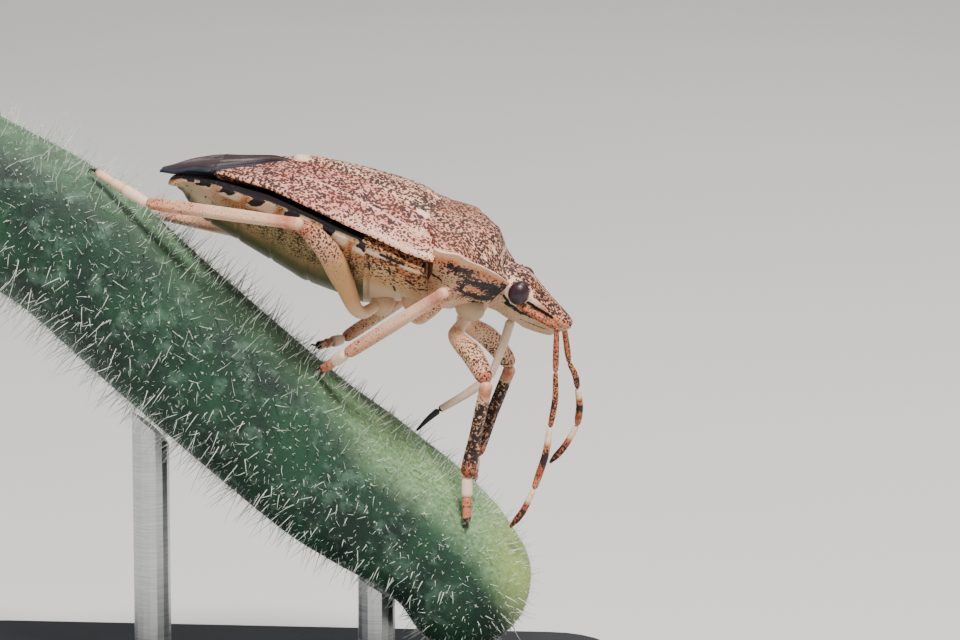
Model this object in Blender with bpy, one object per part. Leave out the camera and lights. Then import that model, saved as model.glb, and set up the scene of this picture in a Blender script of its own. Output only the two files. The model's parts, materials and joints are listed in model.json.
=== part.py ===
"""A life-size model of a brown shield bug feeding on a cut length of stem, on a plain stand.

The bug is drawn in its own frame, in millimetres: X forward to the head, Y to its left, Z up
through its back, with the origin at the base of the scutellum. An empty pitches that frame head
down, and the stem and stand are drawn in the level frame of the base.
"""
import math

import bmesh
import bpy
from mathutils import Matrix, Vector
from mathutils.bvhtree import BVHTree

MM = 0.001

# The stand, in mm
BASE_LENGTH = 25.0
BASE_WIDTH = 16.0
BASE_THICK = 2.0
BASE_CORNER = 2.5
BASE_BEVEL = 0.25
ROD_RADIUS = 0.65
REAR_ROD_X = -3.5
FRONT_ROD_X = 4.4

# Where the bug's own origin stands over the base, and how far the bug pitches head down
BUG_X = 6.5
BUG_Z = 18.6
PITCH = math.radians(20.5)

# Clearance between neighbouring pieces
GAP = 0.25

# The bug, in mm, in its own frame
HEAD_TIP = 5.64
HEAD_REAR = 3.02
EYE_CENTRE = (3.53, 1.27, -0.96)
EYE_RADII = (0.35, 0.30, 0.4)
COLLAR_FRONT = 3.13
PRONOTUM_CORNER = 0.55
SCUTELLUM_HALF_BASE = 2.35
SCUTELLUM_TIP = -5.38
CORIUM_CORNER = -7.6
MEMBRANE_TIP = -9.53
ABDOMEN_FRONT = -2.0
ABDOMEN_TIP = -9.1
PLATE = 0.5
COLLAR_SUTURE = 0.9
HIND_SUTURE = 0.6
ROLL_START = -2.5
ROLL_REAR = math.radians(-4.6)
ROLL_REACH = 6.0
VEIN_RAISE = 0.09

# The stem, in mm
STEM_WIDTH = 6.9
STEM_DEPTH = 5.4
STEM_TWIST = math.radians(14.0)
STEM_END_DEPTH = 0.82
STEM_CAP = 2.2
STALK_RADIUS = 0.72

# Least thickness of feelers and legs
FEELER = 0.25
SLIM = 0.27


def through(*stations):
    """Return a smooth curve through (position, value) stations listed in rising position."""
    xs = [s[0] for s in stations]
    ys = [s[1] for s in stations]
    steps = [(ys[i + 1] - ys[i]) / (xs[i + 1] - xs[i]) for i in range(len(xs) - 1)]
    slopes = [steps[0]]
    for i in range(1, len(steps)):
        if steps[i - 1] * steps[i] <= 0:
            slopes.append(0.0)
        else:
            slopes.append(2 * steps[i - 1] * steps[i] / (steps[i - 1] + steps[i]))
    slopes.append(steps[-1])

    def at(x):
        x = min(max(x, xs[0]), xs[-1])
        i = 0
        while i < len(steps) - 1 and x > xs[i + 1]:
            i += 1
        h = xs[i + 1] - xs[i]
        t = (x - xs[i]) / h
        return (ys[i] * (1 + 2 * t) * (1 - t) ** 2 + ys[i + 1] * t * t * (3 - 2 * t)
                + h * slopes[i] * t * (1 - t) ** 2 - h * slopes[i + 1] * t * t * (1 - t))
    return at


def smooth(t):
    """Ease from 0 to 1."""
    t = min(max(t, 0.0), 1.0)
    return t * t * (3 - 2 * t)


def mix(a, b, t):
    return a + (b - a) * t


# Heights and half widths of the back along the body
back_mid = through((-9.53, -1.52), (-8.8, -1.12), (-7.8, -0.62), (-6.6, -0.1), (-5.38, 0.36),
                   (-4.5, 0.58), (-3.1, 0.78), (-1.1, 0.88), (0.0, 0.68))
back_edge = through((-9.53, -1.54), (-9.1, -1.38), (-8.5, -0.98), (-7.6, -0.6), (-6.45, -0.34),
                    (-5.4, -0.14), (-3.9, -0.08), (-2.5, -0.13), (-1.3, -0.21), (-0.5, -0.28),
                    (0.55, -0.24))
wing_half = through((-9.53, 0.32), (-9.2, 0.9), (-8.5, 1.68), (-7.6, 2.6), (-6.45, 3.32), (-5.4, 3.76),
                    (-4.0, 4.08), (-2.5, 4.16), (-0.5, 4.1), (0.55, 4.0))
scutellum_half = through((-5.38, 0.2), (-5.22, 0.4), (-4.8, 0.52), (-3.9, 0.66), (-3.0, 0.98),
                         (-2.0, 1.45), (-1.0, 1.94), (0.0, SCUTELLUM_HALF_BASE))
rim_height = through((-9.2, -1.84), (-8.7, -1.52), (-8.16, -1.28), (-7.05, -1.02), (-6.1, -0.84),
                     (-5.4, -0.66), (-4.1, -0.54), (-2.3, -0.54), (-1.0, -0.68), (0.0, -0.78))
rim_half = through((-9.2, 0.35), (-9.0, 0.85), (-8.7, 1.38), (-8.16, 2.16), (-7.05, 3.18),
                   (-6.1, 3.78), (-5.4, 4.04), (-4.4, 4.26), (-3.4, 4.32), (-2.3, 4.28), (-1.0, 4.15),
                   (0.0, 4.02))
belly = through((-9.2, -2.0), (-8.6, -2.1), (-8.3, -2.32), (-7.8, -2.66), (-6.2, -2.98), (-4.2, -3.34),
                (-3.5, -3.47), (-2.2, -3.46), (-1.3, -3.46), (-0.3, -2.98), (0.9, -2.74), (2.0, -2.42),
                (3.13, -2.1))
collar_half = through((0.55, 4.05), (0.85, 4.16), (1.15, 4.1), (1.5, 3.7), (2.0, 3.0), (2.6, 2.26),
                      (3.13, 1.68))
collar_edge = through((0.55, 0.02), (1.15, 0.16), (1.5, 0.0), (2.0, -0.17), (2.6, -0.4), (3.13, -0.66))
collar_mid = through((0.0, 0.68), (0.55, 0.72), (1.5, 0.72), (2.04, 0.6), (2.45, 0.3), (2.8, -0.02),
                     (3.13, -0.3))
head_half = through((3.02, 1.12), (3.5, 1.16), (4.0, 1.08), (4.6, 0.92), (5.2, 0.78), (5.5, 0.56),
                    (5.64, 0.3))
head_top = through((3.02, -0.3), (3.58, -0.37), (4.2, -0.72), (4.77, -1.03), (5.2, -1.24), (5.5, -1.4),
                   (5.64, -1.52))
head_edge = through((3.02, -0.9), (3.94, -1.0), (4.6, -1.24), (5.25, -1.5), (5.64, -1.62))
head_under = through((3.02, -2.08), (3.6, -2.2), (4.4, -2.22), (5.1, -2.14), (5.4, -1.92),
                     (5.64, -1.74))


def back(f, l):
    """Height of the folded back over a place on the body."""
    w = wing_half(f)
    e = back_edge(f)
    return e + (back_mid(f) - e) * (1 - min(abs(l) / w, 1.0) ** 2)


def wing_thick(f, l):
    """Thickness of the folded wings, thinner at their edges and tip."""
    x = abs(l) / wing_half(f)
    return PLATE * (1 - 0.6 * smooth((x - 0.74) / 0.24)) * mix(0.55, 1.0, smooth((f + 9.4) / 1.2))


def lie(p):
    """Roll the rear of the body a little, so that its right edge rises."""
    f, l, u = p
    a = ROLL_REAR * smooth((ROLL_START - f) / ROLL_REACH)
    c, s = math.cos(a), math.sin(a)
    return (f, l * c - (u + 0.8) * s, -0.8 + l * s + (u + 0.8) * c)


def new_material(name, colour, rough, metal=0.0):
    mat = bpy.data.materials.new(name)
    mat.use_nodes = True
    shader = mat.node_tree.nodes["Principled BSDF"]
    shader.inputs["Base Color"].default_value = (*colour, 1.0)
    shader.inputs["Roughness"].default_value = rough
    shader.inputs["Metallic"].default_value = metal
    mat.diffuse_color = (*colour, 1.0)
    return mat


def add_mesh(name, verts, faces, parent, mat, sharp=40.0):
    """Make one object in mm under its parent, with its faces turned out."""
    mesh = bpy.data.meshes.new(name)
    mesh.from_pydata([tuple(c * MM for c in v) for v in verts], [], faces)
    bm = bmesh.new()
    bm.from_mesh(mesh)
    bmesh.ops.recalc_face_normals(bm, faces=bm.faces)
    bm.to_mesh(mesh)
    bm.free()
    mesh.shade_smooth()
    mesh.set_sharp_from_angle(angle=math.radians(sharp))
    mesh.materials.append(mat)
    obj = bpy.data.objects.new(name, mesh)
    bpy.context.scene.collection.objects.link(obj)
    obj.parent = parent
    return obj


def shell(name, top, bottom, rows, cols, rim, parent, mat, sharp=40.0):
    """Close a solid between two surfaces over t in 0..1 and s in -1..1.

    With a rim the two surfaces share their side edges.
    """
    verts = []
    faces = []
    up = []
    low = []
    for i in range(rows + 1):
        t = i / rows
        up.append([])
        low.append([])
        for j in range(cols + 1):
            s = -1 + 2 * j / cols
            verts.append(top(t, s))
            up[i].append(len(verts) - 1)
            if rim and j in (0, cols):
                low[i].append(len(verts) - 1)
            else:
                verts.append(bottom(t, s))
                low[i].append(len(verts) - 1)

    def face(*ids):
        kept = [k for n, k in enumerate(ids) if k != ids[n - 1]]
        if len(kept) == 4:
            faces.append((kept[0], kept[1], kept[2]))
            faces.append((kept[0], kept[2], kept[3]))
        elif len(kept) == 3:
            faces.append(tuple(kept))

    for i in range(rows):
        for j in range(cols):
            face(up[i][j], up[i][j + 1], up[i + 1][j + 1], up[i + 1][j])
            face(low[i][j], low[i][j + 1], low[i + 1][j + 1], low[i + 1][j])
        for j in (0, cols):
            if up[i][j] != low[i][j]:
                face(up[i][j], up[i + 1][j], low[i + 1][j], low[i][j])
    for i in (0, rows):
        for j in range(cols):
            face(up[i][j], up[i][j + 1], low[i][j + 1], low[i][j])
    return add_mesh(name, verts, faces, parent, mat, sharp)


def tube(name, points, radii, parent, mat, sides=8, rings=5):
    """A tapered limb along a smooth path, with rounded ends."""
    n = len(points)
    runs = [0.0]
    for a, b in zip(points, points[1:]):
        runs.append(runs[-1] + (Vector(b) - Vector(a)).length)
    total = runs[-1]
    axes = [through(*[(runs[i], points[i][k]) for i in range(n)]) for k in range(3)]
    width = through(*[(i / (len(radii) - 1), r) for i, r in enumerate(radii)])
    marks = [0.0, 0.45 * radii[0]]
    marks += [mix(radii[0], total - radii[-1], i / (rings - 1)) for i in range(rings)]
    marks += [total - 0.45 * radii[-1], total]
    shrink = [0.45, 0.84] + [1.0] * rings + [0.84, 0.45]
    verts = []
    side = None
    for d, k in zip(marks, shrink):
        here = Vector([a(d) for a in axes])
        ahead = Vector([a(min(d + 0.05, total)) for a in axes])
        behind = Vector([a(max(d - 0.05, 0.0)) for a in axes])
        along = (ahead - behind).normalized()
        if side is None:
            side = along.cross(Vector((0, 1, 0))).normalized()
        side = (side - along * side.dot(along)).normalized()
        up = along.cross(side)
        r = width(d / total) * k
        for j in range(sides):
            a = 2 * math.pi * j / sides
            verts.append(tuple(here + side * (r * math.cos(a)) + up * (r * math.sin(a))))
    faces = []
    m = len(marks)
    for i in range(m - 1):
        for j in range(sides):
            k = (j + 1) % sides
            faces.append((i * sides + j, i * sides + k, (i + 1) * sides + k, (i + 1) * sides + j))
    faces.append(tuple(range(sides)))
    faces.append(tuple((m - 1) * sides + j for j in range(sides)))
    return add_mesh(name, verts, faces, parent, mat, 60.0)


def ellipsoid(name, centre, radii, parent, mat, segments=16, rings=10):
    mesh = bpy.data.meshes.new(name)
    bm = bmesh.new()
    size = Matrix.Diagonal((radii[0] * MM, radii[1] * MM, radii[2] * MM, 1.0))
    place = Matrix.Translation(Vector(centre) * MM)
    bmesh.ops.create_uvsphere(bm, u_segments=segments, v_segments=rings, radius=1.0, matrix=place @ size)
    bm.to_mesh(mesh)
    bm.free()
    mesh.shade_smooth()
    mesh.materials.append(mat)
    obj = bpy.data.objects.new(name, mesh)
    bpy.context.scene.collection.objects.link(obj)
    obj.parent = parent
    return obj


def bake(obj):
    """Apply the object's modifiers and keep its largest closed surface."""
    deps = bpy.context.evaluated_depsgraph_get()
    mesh = bpy.data.meshes.new_from_object(obj.evaluated_get(deps))
    obj.modifiers.clear()
    bm = bmesh.new()
    bm.from_mesh(mesh)
    bm.verts.ensure_lookup_table()
    left = set(bm.verts)
    groups = []
    while left:
        stack = [left.pop()]
        group = set(stack)
        while stack:
            for edge in stack.pop().link_edges:
                for v in edge.verts:
                    if v in left:
                        left.discard(v)
                        group.add(v)
                        stack.append(v)
        groups.append(group)
    groups.sort(key=len, reverse=True)
    bmesh.ops.delete(bm, geom=[v for g in groups[1:] for v in g], context="VERTS")
    bm.to_mesh(mesh)
    bm.free()
    old = obj.data
    obj.data = mesh
    mesh.name = obj.name
    bpy.data.meshes.remove(old)


def boolean(obj, others, operation):
    """Join or cut the object by the others, then remove them."""
    group = bpy.data.collections.new(obj.name + "_group")
    bpy.context.scene.collection.children.link(group)
    for other in others:
        bpy.context.scene.collection.objects.unlink(other)
        group.objects.link(other)
    mod = obj.modifiers.new(operation.lower(), "BOOLEAN")
    mod.operation = operation
    mod.operand_type = "COLLECTION"
    mod.collection = group
    mod.solver = "EXACT"
    bake(obj)
    for other in others:
        mesh = other.data
        bpy.data.objects.remove(other)
        bpy.data.meshes.remove(mesh)
    bpy.data.collections.remove(group)


def make_head(bug, mats):
    def place(t, s):
        f = mix(HEAD_REAR, HEAD_TIP, 1 - (1 - t) ** 1.3)
        return f, head_half(f) * math.sin(s * math.pi / 2)

    def top(t, s):
        f, l = place(t, s)
        e = head_edge(f)
        return (f, l, e + (head_top(f) - e) * (1 - abs(l / head_half(f)) ** 2.2) ** 0.8)

    def bottom(t, s):
        f, l = place(t, s)
        e = head_edge(f)
        x = abs(l / head_half(f))
        tuck = 1 - 0.16 * math.sin(math.pi * x)
        return (f, l * tuck, e + (head_under(f) - e) * (1 - x ** 2.4) ** 0.6)

    head = shell("head", top, bottom, 12, 12, True, bug, mats["head"])
    sockets = []
    for side in (-1, 1):
        centre = (EYE_CENTRE[0], side * EYE_CENTRE[1], EYE_CENTRE[2])
        sockets.append(ellipsoid("socket", centre, [r + 0.15 for r in EYE_RADII], bug, mats["head"], 14, 9))
    boolean(head, sockets, "DIFFERENCE")
    for side, label in ((-1, "right"), (1, "left")):
        centre = (EYE_CENTRE[0], side * EYE_CENTRE[1], EYE_CENTRE[2])
        ellipsoid("eye_" + label, centre, EYE_RADII, bug, mats["eye"])


def make_prothorax(bug, mats):
    def place(t, s):
        base = mix(PRONOTUM_CORNER, COLLAR_FRONT, t)
        w = collar_half(base)
        l = w * math.sin(s * math.pi / 2)
        rear = -0.52 * (1 - smooth((abs(l) - SCUTELLUM_HALF_BASE) / 1.5)) * (1 - t) ** 3
        front = -0.44 * (1 - (l / w) ** 4) * t ** 4
        return base, base + rear + front, w, l

    def top(t, s):
        base, f, w, l = place(t, s)
        e = collar_edge(base)
        return (f, l, e + (collar_mid(f) - e) * (1 - abs(l / w) ** 2.1))

    def bottom(t, s):
        base, f, w, l = place(t, s)
        e = collar_edge(base)
        x = abs(l / w)
        deep = (1 - x ** 1.8) ** 0.75
        f += COLLAR_SUTURE * deep * (1 - t) ** 2
        return (f, l * (1 - 0.1 * math.sin(math.pi * x)), e + (belly(f) - e) * deep)

    body = shell("prothorax", top, bottom, 10, 16, True, bug, mats["shield"])
    coxae = [ellipsoid("coxa", (2.2, side * 1.0, -2.3), (0.5, 0.52, 0.52), bug, mats["shield"], 12, 8)
             for side in (-1, 1)]
    boolean(body, coxae, "UNION")


def make_thorax(bug, mats):
    front = -0.22
    rear = ABDOMEN_FRONT + GAP

    def place(t, s):
        f = mix(rear, front, t)
        return f, rim_half(f), rim_half(f) * math.sin(s * math.pi / 2)

    def top(t, s):
        f, w, l = place(t, s)
        x = abs(l / w)
        under = back(f, l) - wing_thick(f, l) - GAP
        return (f, l, mix(under, rim_height(f), smooth((x - 0.85) / 0.15)))

    def bottom(t, s):
        f, w, l = place(t, s)
        e = rim_height(f)
        x = abs(l / w)
        deep = (1 - x ** 1.75) ** 0.82
        f += deep * mix(HIND_SUTURE, COLLAR_SUTURE, t)
        return (f, l * (1 - 0.1 * math.sin(math.pi * x)), e + (belly(f) - e) * deep)

    body = shell("thorax", top, bottom, 6, 16, True, bug, mats["pleura"])
    coxae = []
    for side in (-1, 1):
        for f, u in ((0.25, -2.46), (-0.72, -2.98)):
            coxae.append(ellipsoid("coxa", (f, side * 1.3, u), (0.42, 0.5, 0.48), bug, mats["pleura"],
                                   12, 8))
    boolean(body, coxae, "UNION")


def make_abdomen(bug, mats):
    def place(t, s):
        f = mix(ABDOMEN_TIP, ABDOMEN_FRONT, t ** 1.25)
        return f, rim_half(f), rim_half(f) * math.sin(s * math.pi / 2)

    def top(t, s):
        f, w, l = place(t, s)
        edge = min(rim_height(f), back_edge(f) - 0.42)
        under = back(f, l) - wing_thick(f, l) - GAP
        return lie((f, l, mix(under, edge, smooth((abs(l / w) - 0.9) / 0.1))))

    def bottom(t, s):
        f, w, l = place(t, s)
        e = min(rim_height(f), back_edge(f) - 0.42)
        x = abs(l / w)
        deep = (1 - x ** 1.75) ** 0.85
        roof = back(f, l) - wing_thick(f, l) - GAP - 0.15
        f += HIND_SUTURE * deep * t ** 4
        return lie((f, l * (1 - 0.05 * math.sin(math.pi * x)), min(e + (belly(f) - e) * deep, roof)))

    shell("abdomen", top, bottom, 18, 18, True, bug, mats["belly"])


def make_scutellum(bug, mats):
    def place(t, s):
        f = mix(SCUTELLUM_TIP, -0.24, t)
        w = scutellum_half(f)
        return f, w, w * math.sin(s * math.pi / 2)

    def top(t, s):
        f, w, l = place(t, s)
        return lie((f, l, back(f, l) + 0.12 * (1 - (l / w) ** 2)))

    def bottom(t, s):
        f, w, l = place(t, s)
        return lie((f, l, back(f, l) - PLATE))

    shell("scutellum", top, bottom, 14, 8, False, bug, mats["scutellum"])


def corium_inner(f):
    """Inner edge of the corium: beside the scutellum, then oblique to the outer corner."""
    if f > SCUTELLUM_TIP:
        return scutellum_half(f) + GAP
    t = (SCUTELLUM_TIP - f) / (SCUTELLUM_TIP - CORIUM_CORNER)
    return mix(scutellum_half(SCUTELLUM_TIP) + GAP, wing_half(CORIUM_CORNER) - 0.16, t ** 1.1)


def make_corium(bug, mats, side, label):
    def place(t, s):
        base = mix(CORIUM_CORNER, -0.24, t)
        s = (s + 1) / 2
        inner = corium_inner(base)
        outer = wing_half(base)
        l = mix(inner, outer, math.sin(s * math.pi / 2))
        f = base + 0.56 * smooth((l - SCUTELLUM_HALF_BASE) / 1.5) * t ** 6
        return f, l

    def top(t, s):
        f, l = place(t, s)
        return lie((f, side * l, back(f, l)))

    def bottom(t, s):
        f, l = place(t, s)
        return lie((f, side * l, back(f, l) - wing_thick(f, l)))

    shell("corium_" + label, top, bottom, 16, 8, False, bug, mats["corium"])


def make_membrane(bug, mats):
    start = SCUTELLUM_TIP - 0.55

    def half(f):
        if f > CORIUM_CORNER - 0.15:
            return max(corium_inner(f) - 0.3, 0.12)
        return mix(wing_half(f), corium_inner(CORIUM_CORNER) - 0.3, smooth((f - CORIUM_CORNER + 0.75) / 0.6))

    def place(t, s):
        f = mix(MEMBRANE_TIP, start, t)
        return f, half(f) * s

    def top(t, s):
        f, l = place(t, s)
        column = round((s + 1) * 12)
        vein = VEIN_RAISE if column % 3 == 0 and 0 < column < 24 else 0.0
        fade = smooth(t * 6) * smooth((1 - t) * 6)
        return lie((f, l, back(f, l) - VEIN_RAISE + vein * fade))

    def bottom(t, s):
        f, l = place(t, s)
        return lie((f, l, back(f, l) - wing_thick(f, l)))

    shell("membrane", top, bottom, 12, 24, False, bug, mats["membrane"], 80.0)


def limb(name, points, radii, bug, mats, mat, start=0.0, end=0.0, **keys):
    """A limb whose ends stop short of its neighbours."""
    pts = [Vector(p) for p in points]
    pts[0] = pts[0] + (pts[1] - pts[0]).normalized() * start
    pts[-1] = pts[-1] + (pts[-2] - pts[-1]).normalized() * end
    return tube(name, [tuple(p) for p in pts], radii, bug, mats[mat], **keys)


def make_legs(bug, mats):
    legs = {
        "front_right": ((2.0, -1.3, -3.06), (3.6, -3.5, -3.74),
                        (4.13, -2.6, -7.34), (4.68, -2.75, -8.8)),
        "middle_right": ((0.5, -1.9, -2.86), (1.25, -4.6, -1.02),
                         (-1.24, -3.0, -4.74), (-1.87, -2.05, -5.82)),
        "rear_right": ((-1.25, -2.2, -3.36), (-4.09, -4.9, -0.6),
                       (-9.44, -2.5, -2.4), (-11.5, -1.78, -2.18)),
        "front_left": ((2.06, 1.3, -3.06), (4.22, 3.3, -4.5),
                       (4.16, 2.2, -7.8), (4.44, 2.95, -8.8)),
        "middle_left": ((0.5, 1.9, -2.86), (1.1, 4.6, -2.1),
                        (-1.64, 2.8, -5.68), (-2.4, 1.8, -6.02)),
        "rear_left": ((-1.25, 2.2, -3.36), (-4.2, 5.5, -3.68),
                      (-9.35, 3.1, -3.92), (-10.98, 2.6, -3.26)),
    }
    bow = {"front": (0.0, 0.1, 0.12), "middle": (0.0, 0.3, -0.1), "rear": (0.0, 0.25, 0.0)}
    knee_gap = {"front": (0.2, 0.2), "middle": (1.0, 0.0), "rear": (0.2, 0.22)}
    for key, (hip, knee, ankle, foot) in legs.items():
        pair, label = key.split("_")
        out = -1 if label == "right" else 1
        h, k, a, t = Vector(hip), Vector(knee), Vector(ankle), Vector(foot)
        bx, by, bz = bow[pair]
        mid = (h + k) / 2 + Vector((bx, by * out, bz))
        femur_end, tibia_start = knee_gap[pair]
        thick = 0.33 if pair == "rear" else 0.3
        limb("femur_" + key, (h, mid, k), (0.25, thick, thick, 0.24), bug, mats, "femur", 0.06, femur_end)
        limb("tibia_" + key, (k, (k + a) / 2, a), (0.25, SLIM, SLIM, 0.27), bug, mats, "tibia", tibia_start,
             GAP / 2)
        limb("tarsus_" + key, (a, (a + t) / 2, t), (0.26, 0.25, 0.25, 0.16), bug, mats, "tarsus",
             GAP / 2, 0.0, rings=4)


def make_feelers(bug, mats):
    half = GAP / 2
    right = ((4.2, -1.45, -1.5), (5.21, -1.2, -1.64), (5.69, -1.2, -3.11), (6.2, -1.4, -4.95),
             (6.45, -1.5, -7.18), (6.16, -1.5, -8.77))
    left = ((4.2, 1.45, -1.54), (5.4, 1.2, -1.86), (6.05, 1.6, -3.27), (6.66, 2.0, -4.11),
            (7.13, 2.4, -5.46), (6.71, 2.6, -7.15))
    for label, points in (("right", right), ("left", left)):
        for i in range(5):
            a = Vector(points[i])
            b = Vector(points[i + 1])
            bow = Vector((0.08, 0, 0)) if i > 1 else Vector()
            start = 0.1 if i == 0 else half
            tip = 0.12 if i == 4 else FEELER
            limb("antenna_%s_%d" % (label, i + 1), (a, (a + b) / 2 + bow, b),
                 (FEELER, FEELER, FEELER, tip), bug, mats, "feeler", start, 0.0 if i == 4 else half,
                 rings=4)


def make_rostrum(bug, mats):
    half = GAP / 2
    spots = ((3.62, 0, -2.42), (3.66, 0, -4.42), (2.41, 0, -6.14), (1.94, 0, -7.12))
    limb("rostrum_upper", (spots[0], (3.68, 0, -3.4), spots[1]), (0.29, 0.27, 0.25), bug, mats,
         "beak", 0.06, half)
    limb("rostrum_middle", (spots[1], (3.06, 0, -5.3), spots[2]), (0.25, 0.25, 0.25), bug, mats,
         "beak", half, half)
    limb("rostrum_tip", (spots[2], (2.16, 0, -6.6), spots[3]), (0.25, 0.22, 0.12), bug, mats,
         "tip", half, 0.0, rings=5)


def stem_frames():
    """Centre, side, up and the two scales of the stem's sections, from the cut end to the rounded end."""
    top_line = ((-16.2, 4.0), (-14.2, 3.0), (-11.6, 1.55), (-7.6, -1.93), (-3.55, -5.4), (-0.79, -7.66),
                (1.0, -9.12), (2.3, -10.5), (2.95, -11.5))
    runs = [0.0]
    for a, b in zip(top_line, top_line[1:]):
        runs.append(runs[-1] + math.dist(a, b))
    x_at = through(*[(r, p[0]) for r, p in zip(runs, top_line)])
    z_at = through(*[(r, p[1]) for r, p in zip(runs, top_line)])
    frames = []
    count = 17
    for i in range(count + 1):
        d = runs[-1] * i / count
        x, z = x_at(d), z_at(d)
        dx = x_at(min(d + 0.2, runs[-1])) - x_at(max(d - 0.2, 0.0))
        dz = z_at(min(d + 0.2, runs[-1])) - z_at(max(d - 0.2, 0.0))
        along = Vector((dx, 0, dz)).normalized()
        up = Vector((-along.z, 0, along.x))
        turn = STEM_TWIST * (1 - smooth((x + 3.8) / 2.6))
        side = Vector((0, 1, 0))
        tilted_up = up * math.cos(turn) + side * math.sin(turn)
        tilted_side = side * math.cos(turn) - up * math.sin(turn)
        deep = mix(1.0, STEM_END_DEPTH, smooth((x + 3.5) / 6.5))
        centre = Vector((x, 0, z)) - up * (STEM_DEPTH / 2 * deep)
        frames.append((centre, tilted_side, tilted_up, 1.0, deep))
    centre, side, up, _, deep = frames[-1]
    for i in range(1, 7):
        a = math.pi / 2 * i / 6.4
        k = math.cos(a)
        frames.append((centre + along * (STEM_CAP * math.sin(a)), side, up, k, k * deep))
    return frames


def make_stem(level, mats):
    """The cut stem, rounded at its lower end."""
    sides = 24
    verts = []
    frames = stem_frames()
    for centre, side, up, wide, deep in frames:
        for j in range(sides):
            a = 2 * math.pi * j / sides
            c = math.cos(a)
            s = math.sin(a)
            k = (abs(c) ** 2.5 + abs(s) ** 2.5) ** (-1 / 2.5)
            verts.append(tuple(centre + side * (STEM_WIDTH / 2 * k * c * wide)
                               + up * (STEM_DEPTH / 2 * k * s * deep)))
    faces = []
    m = len(frames)
    for i in range(m - 1):
        for j in range(sides):
            n = (j + 1) % sides
            faces.append((i * sides + j, i * sides + n, (i + 1) * sides + n, (i + 1) * sides + j))
    faces.append(tuple(range(sides)))
    faces.append(tuple((m - 1) * sides + j for j in range(sides)))
    stem = add_mesh("perch_stem", verts, faces, level, mats["stem"])
    return stem


def make_stalk(level, mats):
    top = Vector((1.9, -0.5, -14.9))
    foot = Vector((2.4, -0.7, -16.2))
    tube("perch_stalk", (tuple(top), tuple((top + foot) / 2), tuple(foot)),
         (STALK_RADIUS, STALK_RADIUS * 0.94, STALK_RADIUS * 0.9), level, mats["stalk"], sides=12, rings=3)


def make_stand(root, level, stem, mats):
    """The flat base and the two rods, whose tops follow the underside of the stem."""
    mesh = bpy.data.meshes.new("stand_base")
    bm = bmesh.new()
    corner = 6
    ring = []
    for cx, cy, start in ((1, 1, 0), (-1, 1, 90), (-1, -1, 180), (1, -1, 270)):
        for i in range(corner + 1):
            a = math.radians(start + 90 * i / corner)
            x = cx * (BASE_LENGTH / 2 - BASE_CORNER) + BASE_CORNER * math.cos(a)
            y = cy * (BASE_WIDTH / 2 - BASE_CORNER) + BASE_CORNER * math.sin(a)
            ring.append(bm.verts.new((x * MM, y * MM, 0.0)))
    under = bm.faces.new(ring)
    raised = bmesh.ops.extrude_face_region(bm, geom=[under])
    bmesh.ops.translate(bm, vec=(0, 0, BASE_THICK * MM),
                        verts=[v for v in raised["geom"] if isinstance(v, bmesh.types.BMVert)])
    bmesh.ops.recalc_face_normals(bm, faces=bm.faces)
    bm.to_mesh(mesh)
    bm.free()
    mesh.shade_smooth()
    mesh.set_sharp_from_angle(angle=math.radians(30))
    mesh.materials.append(mats["base"])
    base = bpy.data.objects.new("stand_base", mesh)
    bpy.context.scene.collection.objects.link(base)
    base.parent = root
    bevel = base.modifiers.new("edge", "BEVEL")
    bevel.width = BASE_BEVEL * MM
    bevel.segments = 2
    bevel.limit_method = "ANGLE"
    bevel.angle_limit = math.radians(40)

    tree = BVHTree.FromPolygons([v.co for v in stem.data.vertices], [p.vertices for p in stem.data.polygons])
    for name, x in (("stand_rod_rear", REAR_ROD_X), ("stand_rod_front", FRONT_ROD_X)):
        sides = 16
        foot = BASE_THICK + GAP - BUG_Z
        verts = []
        for end in (0, 1):
            for j in range(sides):
                a = 2 * math.pi * j / sides
                at = Vector((x - BUG_X + ROD_RADIUS * math.cos(a), ROD_RADIUS * math.sin(a), foot))
                if end == 1:
                    hit = tree.ray_cast(at * MM, Vector((0, 0, 1)))[0]
                    at.z = hit.z / MM - 1.4 * GAP
                verts.append(tuple(at))
        faces = [(j, (j + 1) % sides, sides + (j + 1) % sides, sides + j) for j in range(sides)]
        faces += [tuple(range(sides)), tuple(range(sides, 2 * sides))]
        add_mesh(name, verts, faces, level, mats["rod"])


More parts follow.
